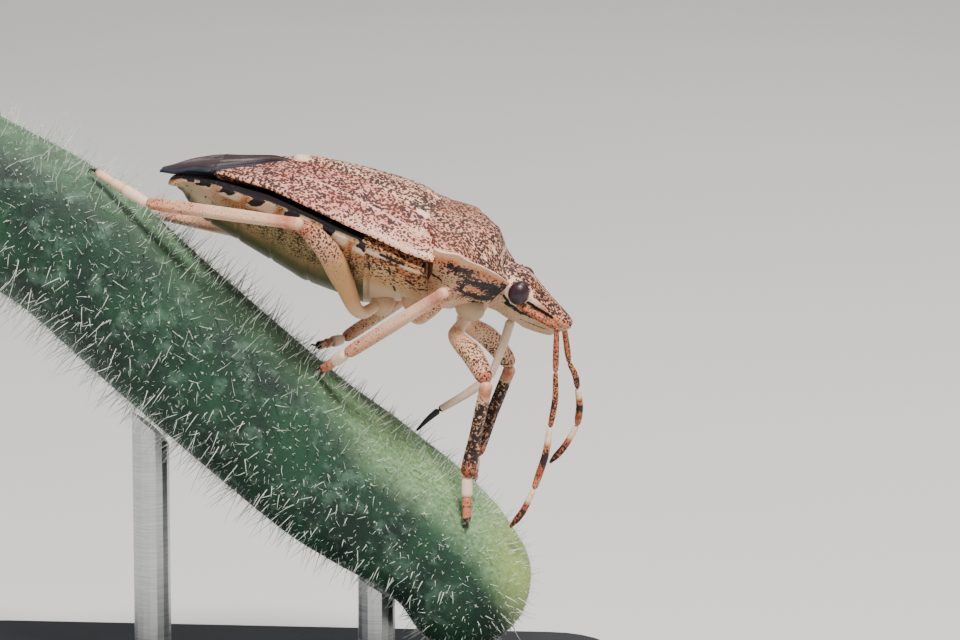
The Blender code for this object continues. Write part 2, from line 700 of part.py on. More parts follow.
def build():
    for obj in list(bpy.data.objects):
        bpy.data.objects.remove(obj)
    root = bpy.data.objects.new("model", None)
    level = bpy.data.objects.new("level_frame", None)
    bug = bpy.data.objects.new("bug_frame", None)
    for empty in (root, level, bug):
        bpy.context.scene.collection.objects.link(empty)
    level.parent = root
    level.location = (BUG_X * MM, 0.0, BUG_Z * MM)
    bug.parent = level
    bug.rotation_euler = (0.0, PITCH, 0.0)

    mats = {
        "head": new_material("head_shell", (0.28, 0.17, 0.13), 0.5),
        "eye": new_material("eye", (0.05, 0.02, 0.03), 0.12),
        "shield": new_material("prothorax_shell", (0.42, 0.27, 0.21), 0.45),
        "scutellum": new_material("scutellum_shell", (0.48, 0.33, 0.25), 0.45),
        "corium": new_material("corium_shell", (0.5, 0.3, 0.26), 0.45),
        "membrane": new_material("wing_membrane", (0.07, 0.08, 0.11), 0.3),
        "pleura": new_material("thorax_shell", (0.5, 0.36, 0.22), 0.45),
        "belly": new_material("abdomen_shell", (0.3, 0.29, 0.14), 0.45),
        "femur": new_material("femur", (0.55, 0.38, 0.28), 0.4),
        "tibia": new_material("tibia", (0.5, 0.3, 0.22), 0.4),
        "tarsus": new_material("tarsus", (0.5, 0.25, 0.17), 0.4),
        "feeler": new_material("antenna", (0.38, 0.16, 0.08), 0.4),
        "beak": new_material("rostrum", (0.5, 0.45, 0.36), 0.4),
        "tip": new_material("rostrum_tip", (0.02, 0.02, 0.02), 0.35),
        "stem": new_material("stem", (0.06, 0.2, 0.07), 0.6),
        "stalk": new_material("stalk", (0.2, 0.04, 0.07), 0.55),
        "base": new_material("stand_base", (0.03, 0.03, 0.032), 0.5),
        "rod": new_material("stand_rod", (0.6, 0.6, 0.6), 0.25, 1.0),
    }
    make_head(bug, mats)
    make_prothorax(bug, mats)
    make_thorax(bug, mats)
    make_abdomen(bug, mats)
    make_scutellum(bug, mats)
    make_corium(bug, mats, -1, "right")
    make_corium(bug, mats, 1, "left")
    make_membrane(bug, mats)
    make_legs(bug, mats)
    make_feelers(bug, mats)
    make_rostrum(bug, mats)
    stem = make_stem(level, mats)
    make_stalk(level, mats)
    make_stand(root, level, stem, mats)
    bpy.context.view_layer.update()


build()
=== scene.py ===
# %% [markdown]
# # A brown shield bug feeding on a hairy stem
# This lesson dresses a still, life-size model of a shield bug. The solids of the model are loaded
# as a fixed frame, and each cell puts a finer piece or a finish where the solids are.

# %% The frame
import json
import math

import bmesh
import bpy
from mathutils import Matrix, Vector

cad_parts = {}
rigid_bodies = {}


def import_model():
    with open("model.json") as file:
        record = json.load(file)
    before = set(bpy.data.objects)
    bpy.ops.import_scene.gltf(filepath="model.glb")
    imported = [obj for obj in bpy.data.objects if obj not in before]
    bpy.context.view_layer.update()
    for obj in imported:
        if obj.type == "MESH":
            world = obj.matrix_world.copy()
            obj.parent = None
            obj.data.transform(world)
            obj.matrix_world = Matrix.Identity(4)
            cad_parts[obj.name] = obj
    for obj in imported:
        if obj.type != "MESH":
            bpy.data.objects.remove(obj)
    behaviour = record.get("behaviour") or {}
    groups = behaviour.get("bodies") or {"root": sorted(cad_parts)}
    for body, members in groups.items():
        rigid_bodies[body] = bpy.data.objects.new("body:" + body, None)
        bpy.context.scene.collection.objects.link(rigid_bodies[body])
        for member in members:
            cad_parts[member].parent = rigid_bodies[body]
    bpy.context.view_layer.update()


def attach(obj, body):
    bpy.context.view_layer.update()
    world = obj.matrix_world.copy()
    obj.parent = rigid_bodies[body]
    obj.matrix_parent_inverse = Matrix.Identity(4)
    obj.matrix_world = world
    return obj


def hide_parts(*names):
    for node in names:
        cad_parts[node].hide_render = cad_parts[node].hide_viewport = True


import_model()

# %% [markdown]
# ## Two frames of measure
# A bug is symmetrical, so its own frame is the easiest to draw in: forward, left and up through
# its back, in millimetres. The bug stands head down on the stem, so one function turns that frame
# into the metres of the model. The stem and stand are level, so they only need to be shifted.

# %% From drawing to model
BUG_X = 6.5
BUG_Z = 18.6
PITCH = math.radians(20.5)
MM = 0.001


def on_bug(p):
    f, l, u = p
    c, s = math.cos(PITCH), math.sin(PITCH)
    return ((BUG_X + f * c + u * s) * MM, l * MM, (BUG_Z - f * s + u * c) * MM)


def on_level(p):
    return ((BUG_X + p[0]) * MM, p[1] * MM, (BUG_Z + p[2]) * MM)


def smooth(t):
    t = min(max(t, 0.0), 1.0)
    return t * t * (3 - 2 * t)


def mix(a, b, t):
    return a + (b - a) * t


def hump(x, width):
    """A soft ridge, 1 at x = 0 and near 0 past the width."""
    return math.exp(-(x / width) ** 2)


def through(*stations):
    """Return a smooth curve through (position, value) stations listed in rising position."""
    xs = [s[0] for s in stations]
    ys = [s[1] for s in stations]
    steps = [(ys[i + 1] - ys[i]) / (xs[i + 1] - xs[i]) for i in range(len(xs) - 1)]
    slopes = [steps[0]]
    for a, b in zip(steps, steps[1:]):
        slopes.append(0.0 if a * b <= 0 else 2 * a * b / (a + b))
    slopes.append(steps[-1])

    def at(x):
        x = min(max(x, xs[0]), xs[-1])
        i = 0
        while i < len(steps) - 1 and x > xs[i + 1]:
            i += 1
        h = xs[i + 1] - xs[i]
        t = (x - xs[i]) / h
        return (ys[i] * (1 + 2 * t) * (1 - t) ** 2 + ys[i + 1] * t * t * (3 - 2 * t)
                + h * slopes[i] * t * (1 - t) ** 2 - h * slopes[i + 1] * t * t * (1 - t))
    return at


print("bug origin in the model, mm:", [round(v / MM, 2) for v in on_bug((0, 0, 0))])

# %% [markdown]
# ## The camera
# The picture is a close-up from the bug's right side, a little ahead of it and a little above.
# A long lens from 20 cm keeps the perspective as flat as the photograph's, and the image is
# taken to be 960 by 640 with 29 pixels to a millimetre. Its middle lies so many of those pixels
# to the right of the bug's origin and below it.

# %% The camera
PIXELS_PER_MM = 29.0
DISTANCE = 200.0
SENSOR = 36.0
IMAGE_WIDTH = 960
AIM_RIGHT, AIM_DOWN = 44.4, 96.4
back_view = Vector((0.079, -0.974, 0.211)).normalized()
right_view = Vector((-back_view.y, back_view.x, 0)).normalized()
up_view = back_view.cross(right_view)
aim = Vector((BUG_X, 0, BUG_Z)) + right_view * (AIM_RIGHT / PIXELS_PER_MM)
aim -= up_view * (AIM_DOWN / PIXELS_PER_MM)
camera_data = bpy.data.cameras.new("camera")
camera_data.sensor_width = SENSOR
camera_data.lens = SENSOR * DISTANCE / (IMAGE_WIDTH / PIXELS_PER_MM)
camera_data.clip_start = 0.01
camera_data.clip_end = 20.0
camera = bpy.data.objects.new("camera", camera_data)
bpy.context.scene.collection.objects.link(camera)
camera.location = (aim + back_view * DISTANCE) * MM
camera.rotation_euler = back_view.to_track_quat("Z", "Y").to_euler()
bpy.context.scene.camera = camera
print("camera height over the floor, mm:", round(camera.location.z / MM, 1))

# %% [markdown]
# ## Light and floor
# A plain studio: a pale floor, one large soft lamp high on the right as the sun is in the
# photograph, a weak one from the left, and a pale sky that keeps the underside readable.

# %% The studio
LAMPS_AIM = Vector((0.003, 0.0, 0.014))


def lamp(name, at, size, power, colour=(1, 1, 1)):
    data = bpy.data.lights.new(name, "AREA")
    data.shape = "DISK"
    data.size = size
    data.energy = power
    data.color = colour
    obj = bpy.data.objects.new(name, data)
    bpy.context.scene.collection.objects.link(obj)
    obj.location = at
    toward = Vector(at) - LAMPS_AIM
    obj.rotation_euler = toward.to_track_quat("Z", "Y").to_euler()
    return obj


lamp("key", (0.05, -0.11, 0.22), 0.06, 1.08, (1.0, 0.96, 0.9))
lamp("fill", (-0.20, -0.16, 0.10), 0.16, 0.13, (0.93, 0.97, 1.0))
lamp("back", (0.10, 0.10, 0.26), 0.12, 0.3)
world = bpy.data.worlds.new("studio")
world.use_nodes = True
world.node_tree.nodes["Background"].inputs["Color"].default_value = (0.92, 0.95, 1.0, 1.0)
world.node_tree.nodes["Background"].inputs["Strength"].default_value = 0.25
bpy.context.scene.world = world

# %% [markdown]
# ## Shader sums
# Natural colours are masks laid over masks. Writing those as node links is slow to read, so a
# small class wraps a socket and lets Python's own signs add the Math nodes.

# %% A socket that can be added and multiplied


class Signal:
    def __init__(self, tree, socket):
        self.tree = tree
        self.socket = socket

    def node(self, kind, settings=None, values=None, out=0):
        """Add a node with its settings, then the values or links of its sockets."""
        new = self.tree.nodes.new(kind)
        for key, value in (settings or {}).items():
            setattr(new, key, value)
        for key, value in (values or {}).items():
            if isinstance(value, Signal):
                self.tree.links.new(value.socket, new.inputs[key])
            else:
                new.inputs[key].default_value = value
        return Signal(self.tree, new.outputs[out])

    def maths(self, operation, *values):
        return self.node("ShaderNodeMath", {"operation": operation}, dict(enumerate(values)))

    def __add__(self, other):
        return self.maths("ADD", self, other)

    __radd__ = __add__

    def __sub__(self, other):
        return self.maths("SUBTRACT", self, other)

    def __rsub__(self, other):
        return self.maths("SUBTRACT", other, self)

    def __mul__(self, other):
        return self.maths("MULTIPLY", self, other)

    __rmul__ = __mul__

    def rise(self, low, high):
        """0 below low, 1 above high, eased between; falls where low is the larger."""
        return self.node("ShaderNodeMapRange", {"interpolation_type": "SMOOTHSTEP"},
                         {"Value": self, "From Min": low, "From Max": high})

    def blend(self, a, b):
        """Colour a where this is 0 and colour b where it is 1."""
        a = a if isinstance(a, Signal) else (*a, 1.0)
        b = b if isinstance(b, Signal) else (*b, 1.0)
        return self.node("ShaderNodeMix", {"data_type": "RGBA"}, {0: self, 6: a, 7: b}, out=2)

    def noise(self, scale, detail=2.0, rough=0.5, warp=0.0):
        return self.node("ShaderNodeTexNoise", {}, {"Vector": self, "Scale": scale, "Detail": detail,
                                                    "Roughness": rough, "Distortion": warp})

    def cells(self, scale, feature="F1", spread=1.0):
        return self.node("ShaderNodeTexVoronoi", {"feature": feature},
                         {"Vector": self, "Scale": scale, "Randomness": spread})


def srgb(r, g, b):
    """A colour given in 0..255, as the shader wants it."""
    return tuple(c / 255 / 12.92 if c < 10.3 else ((c / 255 + 0.055) / 1.055) ** 2.4 for c in (r, g, b))


def new_finish(name, specular=0.5, coat=0.0, coat_rough=0.2, metal=0.0):
    """A material, its shader node, and its place in millimetres as a signal."""
    mat = bpy.data.materials.new(name)
    mat.use_nodes = True
    tree = mat.node_tree
    shader = tree.nodes["Principled BSDF"]
    shader.inputs["Specular IOR Level"].default_value = specular
    shader.inputs["Coat Weight"].default_value = coat
    shader.inputs["Coat Roughness"].default_value = coat_rough
    shader.inputs["Metallic"].default_value = metal
    start = Signal(tree, None)
    spot = start.node("ShaderNodeTexCoord", out=3)
    spot = spot.node("ShaderNodeVectorMath", {"operation": "SCALE"}, {0: spot, "Scale": 1000.0})
    return mat, shader, spot


def feed(mat, shader, colour=None, rough=None, height=None, strength=0.5, depth=0.00003):
    tree = mat.node_tree
    if colour is not None:
        tree.links.new(colour.socket, shader.inputs["Base Color"])
    if rough is not None:
        tree.links.new(rough.socket, shader.inputs["Roughness"])
    if height is not None:
        bump = height.node("ShaderNodeBump", {}, {"Height": height, "Strength": strength, "Distance": depth})
        tree.links.new(bump.socket, shader.inputs["Normal"])
    return mat


def painted(spot, name):
    """A mask that was painted on the points of the mesh."""
    return spot.node("ShaderNodeAttribute", {"attribute_name": name}, out=2)


print("one test colour:", [round(c, 3) for c in srgb(232, 205, 190)])

# %% [markdown]
# ## Punctured shell
# The shell of a shield bug is pale, and sunk into it are thousands of tiny pits with dark
# pigment, crowded into clouds in some places and absent from the swollen margins. Cells of
# Voronoi noise give the pits. Their cover is a sum of noise and of masks painted on each plate,
# so that one recipe serves the whole animal with other colours and sizes.

# %% The shell recipe


def shell_finish(name, ground, second, pit, pit_second, cell=0.125, cover=0.44, cloud=0.3, rough=0.5,
                 relief=0.55, pale=(0.80, 0.60, 0.45), warm=(0.56, 0.17, 0.05), ink=(0.012, 0.009, 0.012),
                 tan=(0.42, 0.29, 0.16), stretch=1.0, specular=0.3, crowd=0.07):
    mat, shader, spot = new_finish(name, specular)
    broad = spot.noise(0.8, 3.0)
    patch = spot.noise(2.6, 3.0, 0.6)
    fine = spot.noise(16.0, 2.0)
    ragged = spot.noise(7.0, 3.0, 0.6)
    wide = spot.node("ShaderNodeVectorMath", {"operation": "MULTIPLY"},
                     {0: spot, 1: (1.0, 1.0 / stretch, 1.0)})
    bend = spot.node("ShaderNodeVectorMath", {"operation": "MULTIPLY_ADD"},
                     {0: spot.node("ShaderNodeTexNoise", {}, {"Vector": spot, "Scale": 7.0}, out=1),
                      1: (0.12, 0.12, 0.12), 2: wide})
    dots = bend.cells(1.0 / cell)
    dark = painted(spot, "dark")
    light = painted(spot, "pale")
    heat = painted(spot, "warm")
    black = painted(spot, "ink")
    plain = painted(spot, "tan")
    level = cover + cloud * (patch - 0.5) * 2.0 + dark * crowd - light * 0.6 - plain * 0.34
    pits = (level - dots).rise(-0.05, 0.07)
    body = broad.rise(0.35, 0.65).blend(ground, second)
    body = (fine.rise(0.3, 0.75) * 0.25).blend(body, pale)
    body = (plain * (0.75 + 0.4 * ragged)).blend(body, tan)
    body = (heat * ragged.rise(0.1, 0.6)).blend(body, warm)
    body = (light * fine.rise(0.1, 0.5)).blend(body, pale)
    pigment = (patch + dark * 0.6 + (ragged - 0.5) * 0.5).rise(0.44, 0.72).blend(pit, pit_second)
    colour = (pits * 0.95).blend(body, pigment)
    # Blend in the black mask: the bug's own black marks, and on the shield, the flank and the upper side of
    # the abdomen also painted shade.
    black_marks_and_shade = (black + (ragged - 0.5) * 1.3).rise(0.44, 0.56) * black.rise(0.03, 0.2)
    colour = black_marks_and_shade.blend(colour, ink)
    height = fine * 0.35 - pits + light * 0.4
    return feed(mat, shader, colour, rough + (fine - 0.5) * 0.25 + pits * 0.12, height, relief)


ROSE = srgb(222, 162, 138)
TAN = srgb(176, 132, 86)
OLIVE = srgb(62, 66, 38)
PIT = srgb(70, 32, 30)
PIT_DARK = srgb(20, 13, 19)
PIT_BROWN = srgb(74, 42, 22)
shell_finishes = {
    "corium": shell_finish("corium_shell", srgb(226, 158, 142), srgb(206, 122, 104), srgb(78, 27, 30),
                           PIT_DARK, cell=0.096, cover=0.59, cloud=0.2, stretch=1.4),
    "scutellum": shell_finish("scutellum_shell", srgb(234, 186, 160), srgb(222, 160, 134), srgb(58, 32, 26),
                              PIT_DARK, cell=0.098, cover=0.58, cloud=0.18, stretch=1.3),
    "shield": shell_finish("prothorax_shell", ROSE, srgb(208, 138, 108), PIT, PIT_DARK, cell=0.094,
                           cover=0.59, cloud=0.2, stretch=1.25),
    "head": shell_finish("head_shell", ROSE, srgb(196, 118, 78), srgb(62, 32, 40), PIT_DARK, cell=0.085,
                         cover=0.58, cloud=0.2, tan=srgb(176, 146, 112)),
    "side": shell_finish("thorax_shell", TAN, srgb(198, 158, 114), PIT_BROWN, srgb(46, 26, 17), cell=0.1,
                         cover=0.37, cloud=0.35, tan=srgb(180, 146, 104), crowd=0.2),
    "belly": shell_finish("abdomen_shell", srgb(142, 110, 66), srgb(112, 94, 50), srgb(62, 33, 17),
                          srgb(40, 24, 14), cell=0.08, cover=0.37, cloud=0.3, rough=0.42, tan=OLIVE,
                          crowd=0.18),
}
print("shell finishes:", ", ".join(m.name for m in shell_finishes.values()))

# %% [markdown]
# ## Making a plate
# A plate of the shell is a closed solid between an upper and a lower surface that share their
# side edges. Both are given by functions over a square, as in the solids, only with many more
# rows, and the masks are painted by functions of the place on the body, before the rear of the
# body is rolled a little to its side.

# %% The plate maker
ROLL_START = -2.5
ROLL_REAR = math.radians(-4.6)
ROLL_REACH = 6.0
MASKS = ("dark", "pale", "warm", "ink", "tan")


def lie(p):
    """Roll the rear of the body a little, so that its right edge rises."""
    f, l, u = p
    a = ROLL_REAR * smooth((ROLL_START - f) / ROLL_REACH)
    c, s = math.cos(a), math.sin(a)
    return (f, l * c - (u + 0.8) * s, -0.8 + l * s + (u + 0.8) * c)


def add_piece(name, verts, faces, finish, masks=None, place=on_bug, sharp=40.0):
    """Link one object at the origin, with its faces turned out and its masks painted."""
    mesh = bpy.data.meshes.new(name)
    mesh.from_pydata([place(v) for v in verts], [], faces)
    bm = bmesh.new()
    bm.from_mesh(mesh)
    bmesh.ops.recalc_face_normals(bm, faces=bm.faces)
    bm.to_mesh(mesh)
    bm.free()
    for key, values in (masks or {}).items():
        layer = mesh.attributes.new(key, "FLOAT", "POINT")
        layer.data.foreach_set("value", values)
    mesh.shade_smooth()
    mesh.set_sharp_from_angle(angle=math.radians(sharp))
    mesh.materials.append(finish)
    obj = bpy.data.objects.new(name, mesh)
    bpy.context.scene.collection.objects.link(obj)
    return obj


def settle(obj, slot, *nodes):
    """Attach the piece to the root body and hide the solids that it replaces."""
    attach(obj, "root")
    if nodes:
        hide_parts(*nodes)
    return obj


def plate_data(top, bottom, rows, cols, paint, roll):
    verts = []
    faces = []
    masks = {key: [] for key in MASKS}

    def add(p, side):
        verts.append(lie(p) if roll else p)
        for key in MASKS:
            masks[key].append(min(max(paint[key](*p, side), 0.0), 1.0) if key in paint else 0.0)
        return len(verts) - 1

    up = []
    low = []
    for i in range(rows + 1):
        t = i / rows
        up.append([add(top(t, -1 + 2 * j / cols), 1) for j in range(cols + 1)])
        low.append([up[i][j] if j in (0, cols) else add(bottom(t, -1 + 2 * j / cols), -1)
                    for j in range(cols + 1)])
    for i in range(rows):
        for j in range(cols):
            for g in (up, low):
                faces.append((g[i][j], g[i][j + 1], g[i + 1][j + 1], g[i + 1][j]))
    for i in (0, rows):
        for j in range(cols):
            ids = (up[i][j], up[i][j + 1], low[i][j + 1], low[i][j])
            faces.append(tuple(k for n, k in enumerate(ids) if k != ids[n - 1]))
    return verts, faces, masks


def join_data(parts):
    """Several closed shapes as one mesh."""
    verts, faces, masks = [], [], {key: [] for key in MASKS}
    for v, f, m in parts:
        start = len(verts)
        verts += v
        faces += [tuple(k + start for k in ids) for ids in f]
        for key in MASKS:
            masks[key] += m[key] if key in m else [0.0] * len(v)
    return verts, faces, masks


def ball_data(centre, radii, paint=None, segments=28, rings=18, roll=False):
    verts = [(centre[0], centre[1], centre[2] + radii[2])]
    for i in range(1, rings):
        a = math.pi * i / rings
        for j in range(segments):
            b = 2 * math.pi * j / segments
            verts.append((centre[0] + radii[0] * math.sin(a) * math.cos(b),
                          centre[1] + radii[1] * math.sin(a) * math.sin(b),
                          centre[2] + radii[2] * math.cos(a)))
    verts.append((centre[0], centre[1], centre[2] - radii[2]))
    last = len(verts) - 1
    faces = [(0, 1 + j, 1 + (j + 1) % segments) for j in range(segments)]
    for i in range(rings - 2):
        for j in range(segments):
            a = 1 + i * segments
            n = (j + 1) % segments
            faces.append((a + j, a + segments + j, a + segments + n, a + n))
    a = last - segments
    faces += [(last, a + (j + 1) % segments, a + j) for j in range(segments)]
    masks = {key: [paint[key](*v, 1) if paint and key in paint else 0.0 for v in verts] for key in MASKS}
    return ([lie(v) for v in verts] if roll else verts), faces, masks


def stroke(f, u, marks):
    """How near a place is to a list of strokes (f, u to f, u, radius), 1 on them and 0 away."""
    best = 0.0
    for f0, u0, f1, u1, r in marks:
        df, du = f1 - f0, u1 - u0
        k = min(max(((f - f0) * df + (u - u0) * du) / (df * df + du * du + 1e-9), 0.0), 1.0)
        d = math.hypot(f - f0 - k * df, u - u0 - k * du)
        best = max(best, 1 - smooth((d - 0.15 * r) / (1.7 * r)))
    return best


print("plate maker ready, masks:", MASKS)

# %% [markdown]
# ## The shape of the body
# The same curves as in the solids give the heights and half widths along the body. Each is a
# smooth curve through a few measured stations.

# %% Curves along the body
SCUTELLUM_HALF_BASE = 2.35
SCUTELLUM_TIP = -5.38
CORIUM_CORNER = -7.6
MEMBRANE_TIP = -9.53
PLATE = 0.5
COLLAR_SUTURE = 0.9
HIND_SUTURE = 0.6
back_mid = through((-9.53, -1.52), (-8.8, -1.12), (-7.8, -0.62), (-6.6, -0.1), (-5.38, 0.36), (-4.5, 0.58),
                   (-3.1, 0.78), (-1.1, 0.88), (0.0, 0.68))
back_edge = through((-9.53, -1.54), (-9.1, -1.38), (-8.5, -0.98), (-7.6, -0.6), (-6.45, -0.34), (-5.4, -0.14),
                    (-3.9, -0.08), (-2.5, -0.13), (-1.3, -0.21), (-0.5, -0.28), (0.55, -0.24))
wing_half = through((-9.53, 0.32), (-9.2, 0.9), (-8.5, 1.68), (-7.6, 2.6), (-6.45, 3.32), (-5.4, 3.76),
                    (-4.0, 4.08), (-2.5, 4.16), (-0.5, 4.1), (0.55, 4.0))
scutellum_half = through((-5.38, 0.2), (-5.22, 0.4), (-4.8, 0.52), (-3.9, 0.66), (-3.0, 0.98), (-2.0, 1.45),
                         (-1.0, 1.94), (0.0, SCUTELLUM_HALF_BASE))
rim_height = through((-9.2, -1.84), (-8.7, -1.52), (-8.16, -1.28), (-7.05, -1.02), (-6.1, -0.84),
                     (-5.4, -0.66), (-4.1, -0.54), (-2.3, -0.54), (-1.0, -0.68), (0.0, -0.78))
rim_half = through((-9.2, 0.35), (-9.0, 0.85), (-8.7, 1.38), (-8.16, 2.16), (-7.05, 3.18), (-6.1, 3.78),
                   (-5.4, 4.04), (-4.4, 4.26), (-3.4, 4.32), (-2.3, 4.28), (-1.0, 4.15), (0.0, 4.02))
belly = through((-9.2, -2.0), (-8.6, -2.1), (-8.3, -2.32), (-7.8, -2.66), (-6.2, -2.98), (-4.2, -3.34),
                (-3.5, -3.47), (-2.2, -3.46), (-1.3, -3.46), (-0.3, -2.98), (0.9, -2.74), (2.0, -2.42),
                (3.13, -2.1))
collar_half = through((0.55, 4.05), (0.85, 4.16), (1.15, 4.1), (1.5, 3.7), (2.0, 3.0), (2.6, 2.26),
                      (3.13, 1.68))
collar_edge = through((0.55, 0.02), (1.15, 0.16), (1.5, 0.0), (2.0, -0.17), (2.6, -0.4), (3.13, -0.66))
collar_mid = through((0.0, 0.68), (0.55, 0.72), (1.5, 0.72), (2.04, 0.6), (2.45, 0.3), (2.8, -0.02),
                     (3.13, -0.3))
head_half = through((3.02, 1.12), (3.5, 1.16), (4.0, 1.08), (4.6, 0.92), (5.2, 0.78), (5.5, 0.56),
                    (5.64, 0.3))
head_top = through((3.02, -0.3), (3.58, -0.38), (4.2, -0.72), (4.77, -1.03), (5.2, -1.24), (5.5, -1.4),
                   (5.64, -1.52))
head_edge = through((3.02, -0.9), (3.94, -1.0), (4.6, -1.24), (5.25, -1.5), (5.64, -1.62))
head_under = through((3.02, -2.08), (3.6, -2.2), (4.4, -2.22), (5.1, -2.14), (5.4, -1.92), (5.64, -1.74))


def back(f, l):
    """Height of the folded back over a place on the body."""
    e = back_edge(f)
    return e + (back_mid(f) - e) * (1 - min(abs(l) / wing_half(f), 1.0) ** 2)


def wing_thick(f, l):
    x = abs(l) / wing_half(f)
    return PLATE * (1 - 0.6 * smooth((x - 0.74) / 0.24)) * mix(0.55, 1.0, smooth((f + 9.4) / 1.2))


def rounding(d, r):
    """How far a surface falls within r of its edge, for a rounded edge."""
    return 0.0 if d > r else r - math.sqrt(max(r * r - (r - max(d, 0.0)) ** 2, 0.0))


print("widest place of the wings, mm:", round(2 * max(wing_half(-i / 10) for i in range(90)), 2))

# %% [markdown]
# ## The head
# The head is a flat wedge. Two furrows part its middle lobe from the cheeks, the eyes bulge from
# its rear corners with a pale ring round them, and below the pale cheek edge a black streak
# runs on both sides of the first joint of the feeler.

# %% The head
EYE_CENTRE = (3.53, 1.27, -0.96)
EYE_RADII = (0.36, 0.32, 0.42)


def head_place(t, s):
    f = mix(2.72, 5.64, 1 - (1 - t) ** 1.3)
    return f, head_half(f) * math.sin(s * math.pi / 2)


def head_upper(t, s):
    f, l = head_place(t, s)
    x = abs(l / head_half(f))
    e = head_edge(f)
    furrow = 0.055 * hump(abs(l) - 0.30, 0.055) * smooth((f - 3.95) / 0.4) * smooth((5.6 - f) / 0.15)
    cheek = 0.035 * smooth((x - 0.72) / 0.2) * smooth((f - 3.9) / 0.3) * (1 - smooth((x - 0.93) / 0.07))
    return (f, l, e + (head_top(f) - e) * (1 - x ** 2.2) ** 0.8 - furrow + cheek)


def head_lower(t, s):
    f, l = head_place(t, s)
    x = abs(l / head_half(f))
    e = head_edge(f)
    lip = 0.07 * hump(abs(l) - 0.2, 0.09) * smooth((f - 3.8) / 0.3) * smooth((5.3 - f) / 0.3)
    return (f, l * (1 - 0.16 * math.sin(math.pi * x)), e + (head_under(f) - e) * (1 - x ** 2.4) ** 0.6 - lip)


def head_ring(f, l, u):
    d = math.hypot((f - EYE_CENTRE[0]) / 0.46, (u - EYE_CENTRE[2]) / 0.52)
    return 0.9 * hump(d - 0.93, 0.12) * smooth((abs(l) - 0.75) / 0.2)


def head_pale(f, l, u, side):
    x = abs(l) / head_half(f)
    edge = smooth((x - 0.955) / 0.03) * smooth((f - 3.9) / 0.2)
    edge *= 1.0 if side > 0 else 1 - smooth((0.97 - x) / 0.03)
    edge *= 1 - 0.85 * smooth((f - 4.05) / 0.5)
    line = 0.7 * hump(l, 0.045) * smooth((5.2 - f) / 0.4) * smooth((f - 3.2) / 0.4) if side > 0 else 0.0
    under = 0.2 if side < 0 and u < head_edge(f) - 0.45 else 0.0
    return max(edge, head_ring(f, l, u), line, under)


def head_warm(f, l, u, side):
    x = abs(l) / head_half(f)
    return 0.9 * smooth((x - 0.88) / 0.08) * smooth((f - 4.0) / 0.5)


def head_ink(f, l, u, side):
    if side > 0:
        return 0.42 * stroke(f, abs(l), ((3.1, 0.55, 3.55, 0.7, 0.16), (4.0, 0.66, 4.9, 0.5, 0.1)))
    if abs(l) < 0.35:
        return 0.0
    return 0.72 * stroke(f, u,
                         ((3.95, -1.2, 4.9, -1.44, 0.07), (3.25, -1.52, 3.9, -1.66, 0.1),
                          (3.9, -1.66, 4.7, -1.72, 0.06),
                                (3.9, -1.95, 4.8, -1.98, 0.025), (3.1, -1.3, 3.3, -1.45, 0.08)))


head_paint = {"pale": head_pale, "warm": head_warm, "ink": head_ink,
              "dark": lambda f, l, u, side: 0.5 if side > 0 else 0.3,
              "tan": lambda f, l, u, side: 0.0 if side > 0 else 0.75}
head_parts = [plate_data(head_upper, head_lower, 110, 90, head_paint, False)]
for side in (-1, 1):
    head_parts.append(ball_data((3.85, side * 1.0, -1.42), (0.26, 0.17, 0.16),
                                {"tan": lambda *a: 1.0, "warm": lambda *a: 0.5}))
    head_parts.append(ball_data((3.3, side * 0.56, -0.43), (0.08, 0.08, 0.07),
                                {"warm": lambda *a: 1.0, "pale": lambda *a: 0.3}, 16, 10))
verts, faces, masks = join_data(head_parts)
head = add_piece("bug_head", verts, faces, shell_finishes["head"], masks)
settle(head, "head_shell", "head")
print("head faces:", len(head.data.polygons))

# %% [markdown]
# ## The eyes
# A compound eye is a dome of thousands of lenses. From this distance it reads as a dark, glossy
# bead, with the lenses as a very fine grain, so the grain is left to a bump.

# %% The eyes
eye_finish, eye_shader, spot = new_finish("eye", 0.4, 0.15, 0.2)
lens = spot.cells(26.0)
glow = spot.noise(2.2, 2.0)
feed(eye_finish, eye_shader, glow.rise(0.3, 0.7).blend(srgb(28, 14, 22), srgb(56, 32, 42)),
     0.34 + (lens - 0.3) * 0.2, 1.0 - lens, 0.5, 0.00001)
for side, label in ((-1, "right"), (1, "left")):
    verts, faces, masks = ball_data((EYE_CENTRE[0], side * EYE_CENTRE[1], EYE_CENTRE[2]), EYE_RADII, None, 48,
                                    32)
    eye = add_piece("bug_eye_" + label, verts, faces, eye_finish, None)
    settle(eye, "eye", "eye_" + label)
print("eye height, mm:", round(2 * EYE_RADII[2], 2))

# %% [markdown]
# ## The shield behind the head
# The broad first plate covers the front of the body and runs down over its flanks. Its side
# edges are smooth, pale and orange below, the front has two small swellings with cream dots,
# and two black bars with a tan streak between them lie behind the eye.

# %% The front shield


def shield_place(t, s):
    base = mix(0.29, 3.13, t)
    w = collar_half(base)
    l = w * math.sin(s * math.pi / 2)
    rear = -0.52 * (1 - smooth((abs(l) - SCUTELLUM_HALF_BASE) / 1.5)) * (1 - t) ** 3
    front = -0.44 * (1 - (l / w) ** 4) * t ** 4
    return base, base + rear + front, w, l


def shield_upper(t, s):
    base, f, w, l = shield_place(t, s)
    x = abs(l / w)
    e = collar_edge(base)
    hem = 0.04 * hump(t, 0.035)
    callus = 0.06 * hump(math.hypot((f - 2.3) / 0.36, (abs(l) - 0.95) / 0.62), 1.0)
    waist = -0.05 * hump(math.hypot((f - 1.75) / 0.22, (abs(l) - 0.8) / 1.0), 1.0)
    return (f, l, e + (collar_mid(base) - e) * (1 - x ** 2.1) + hem + (callus + waist) * (1 - x ** 4))


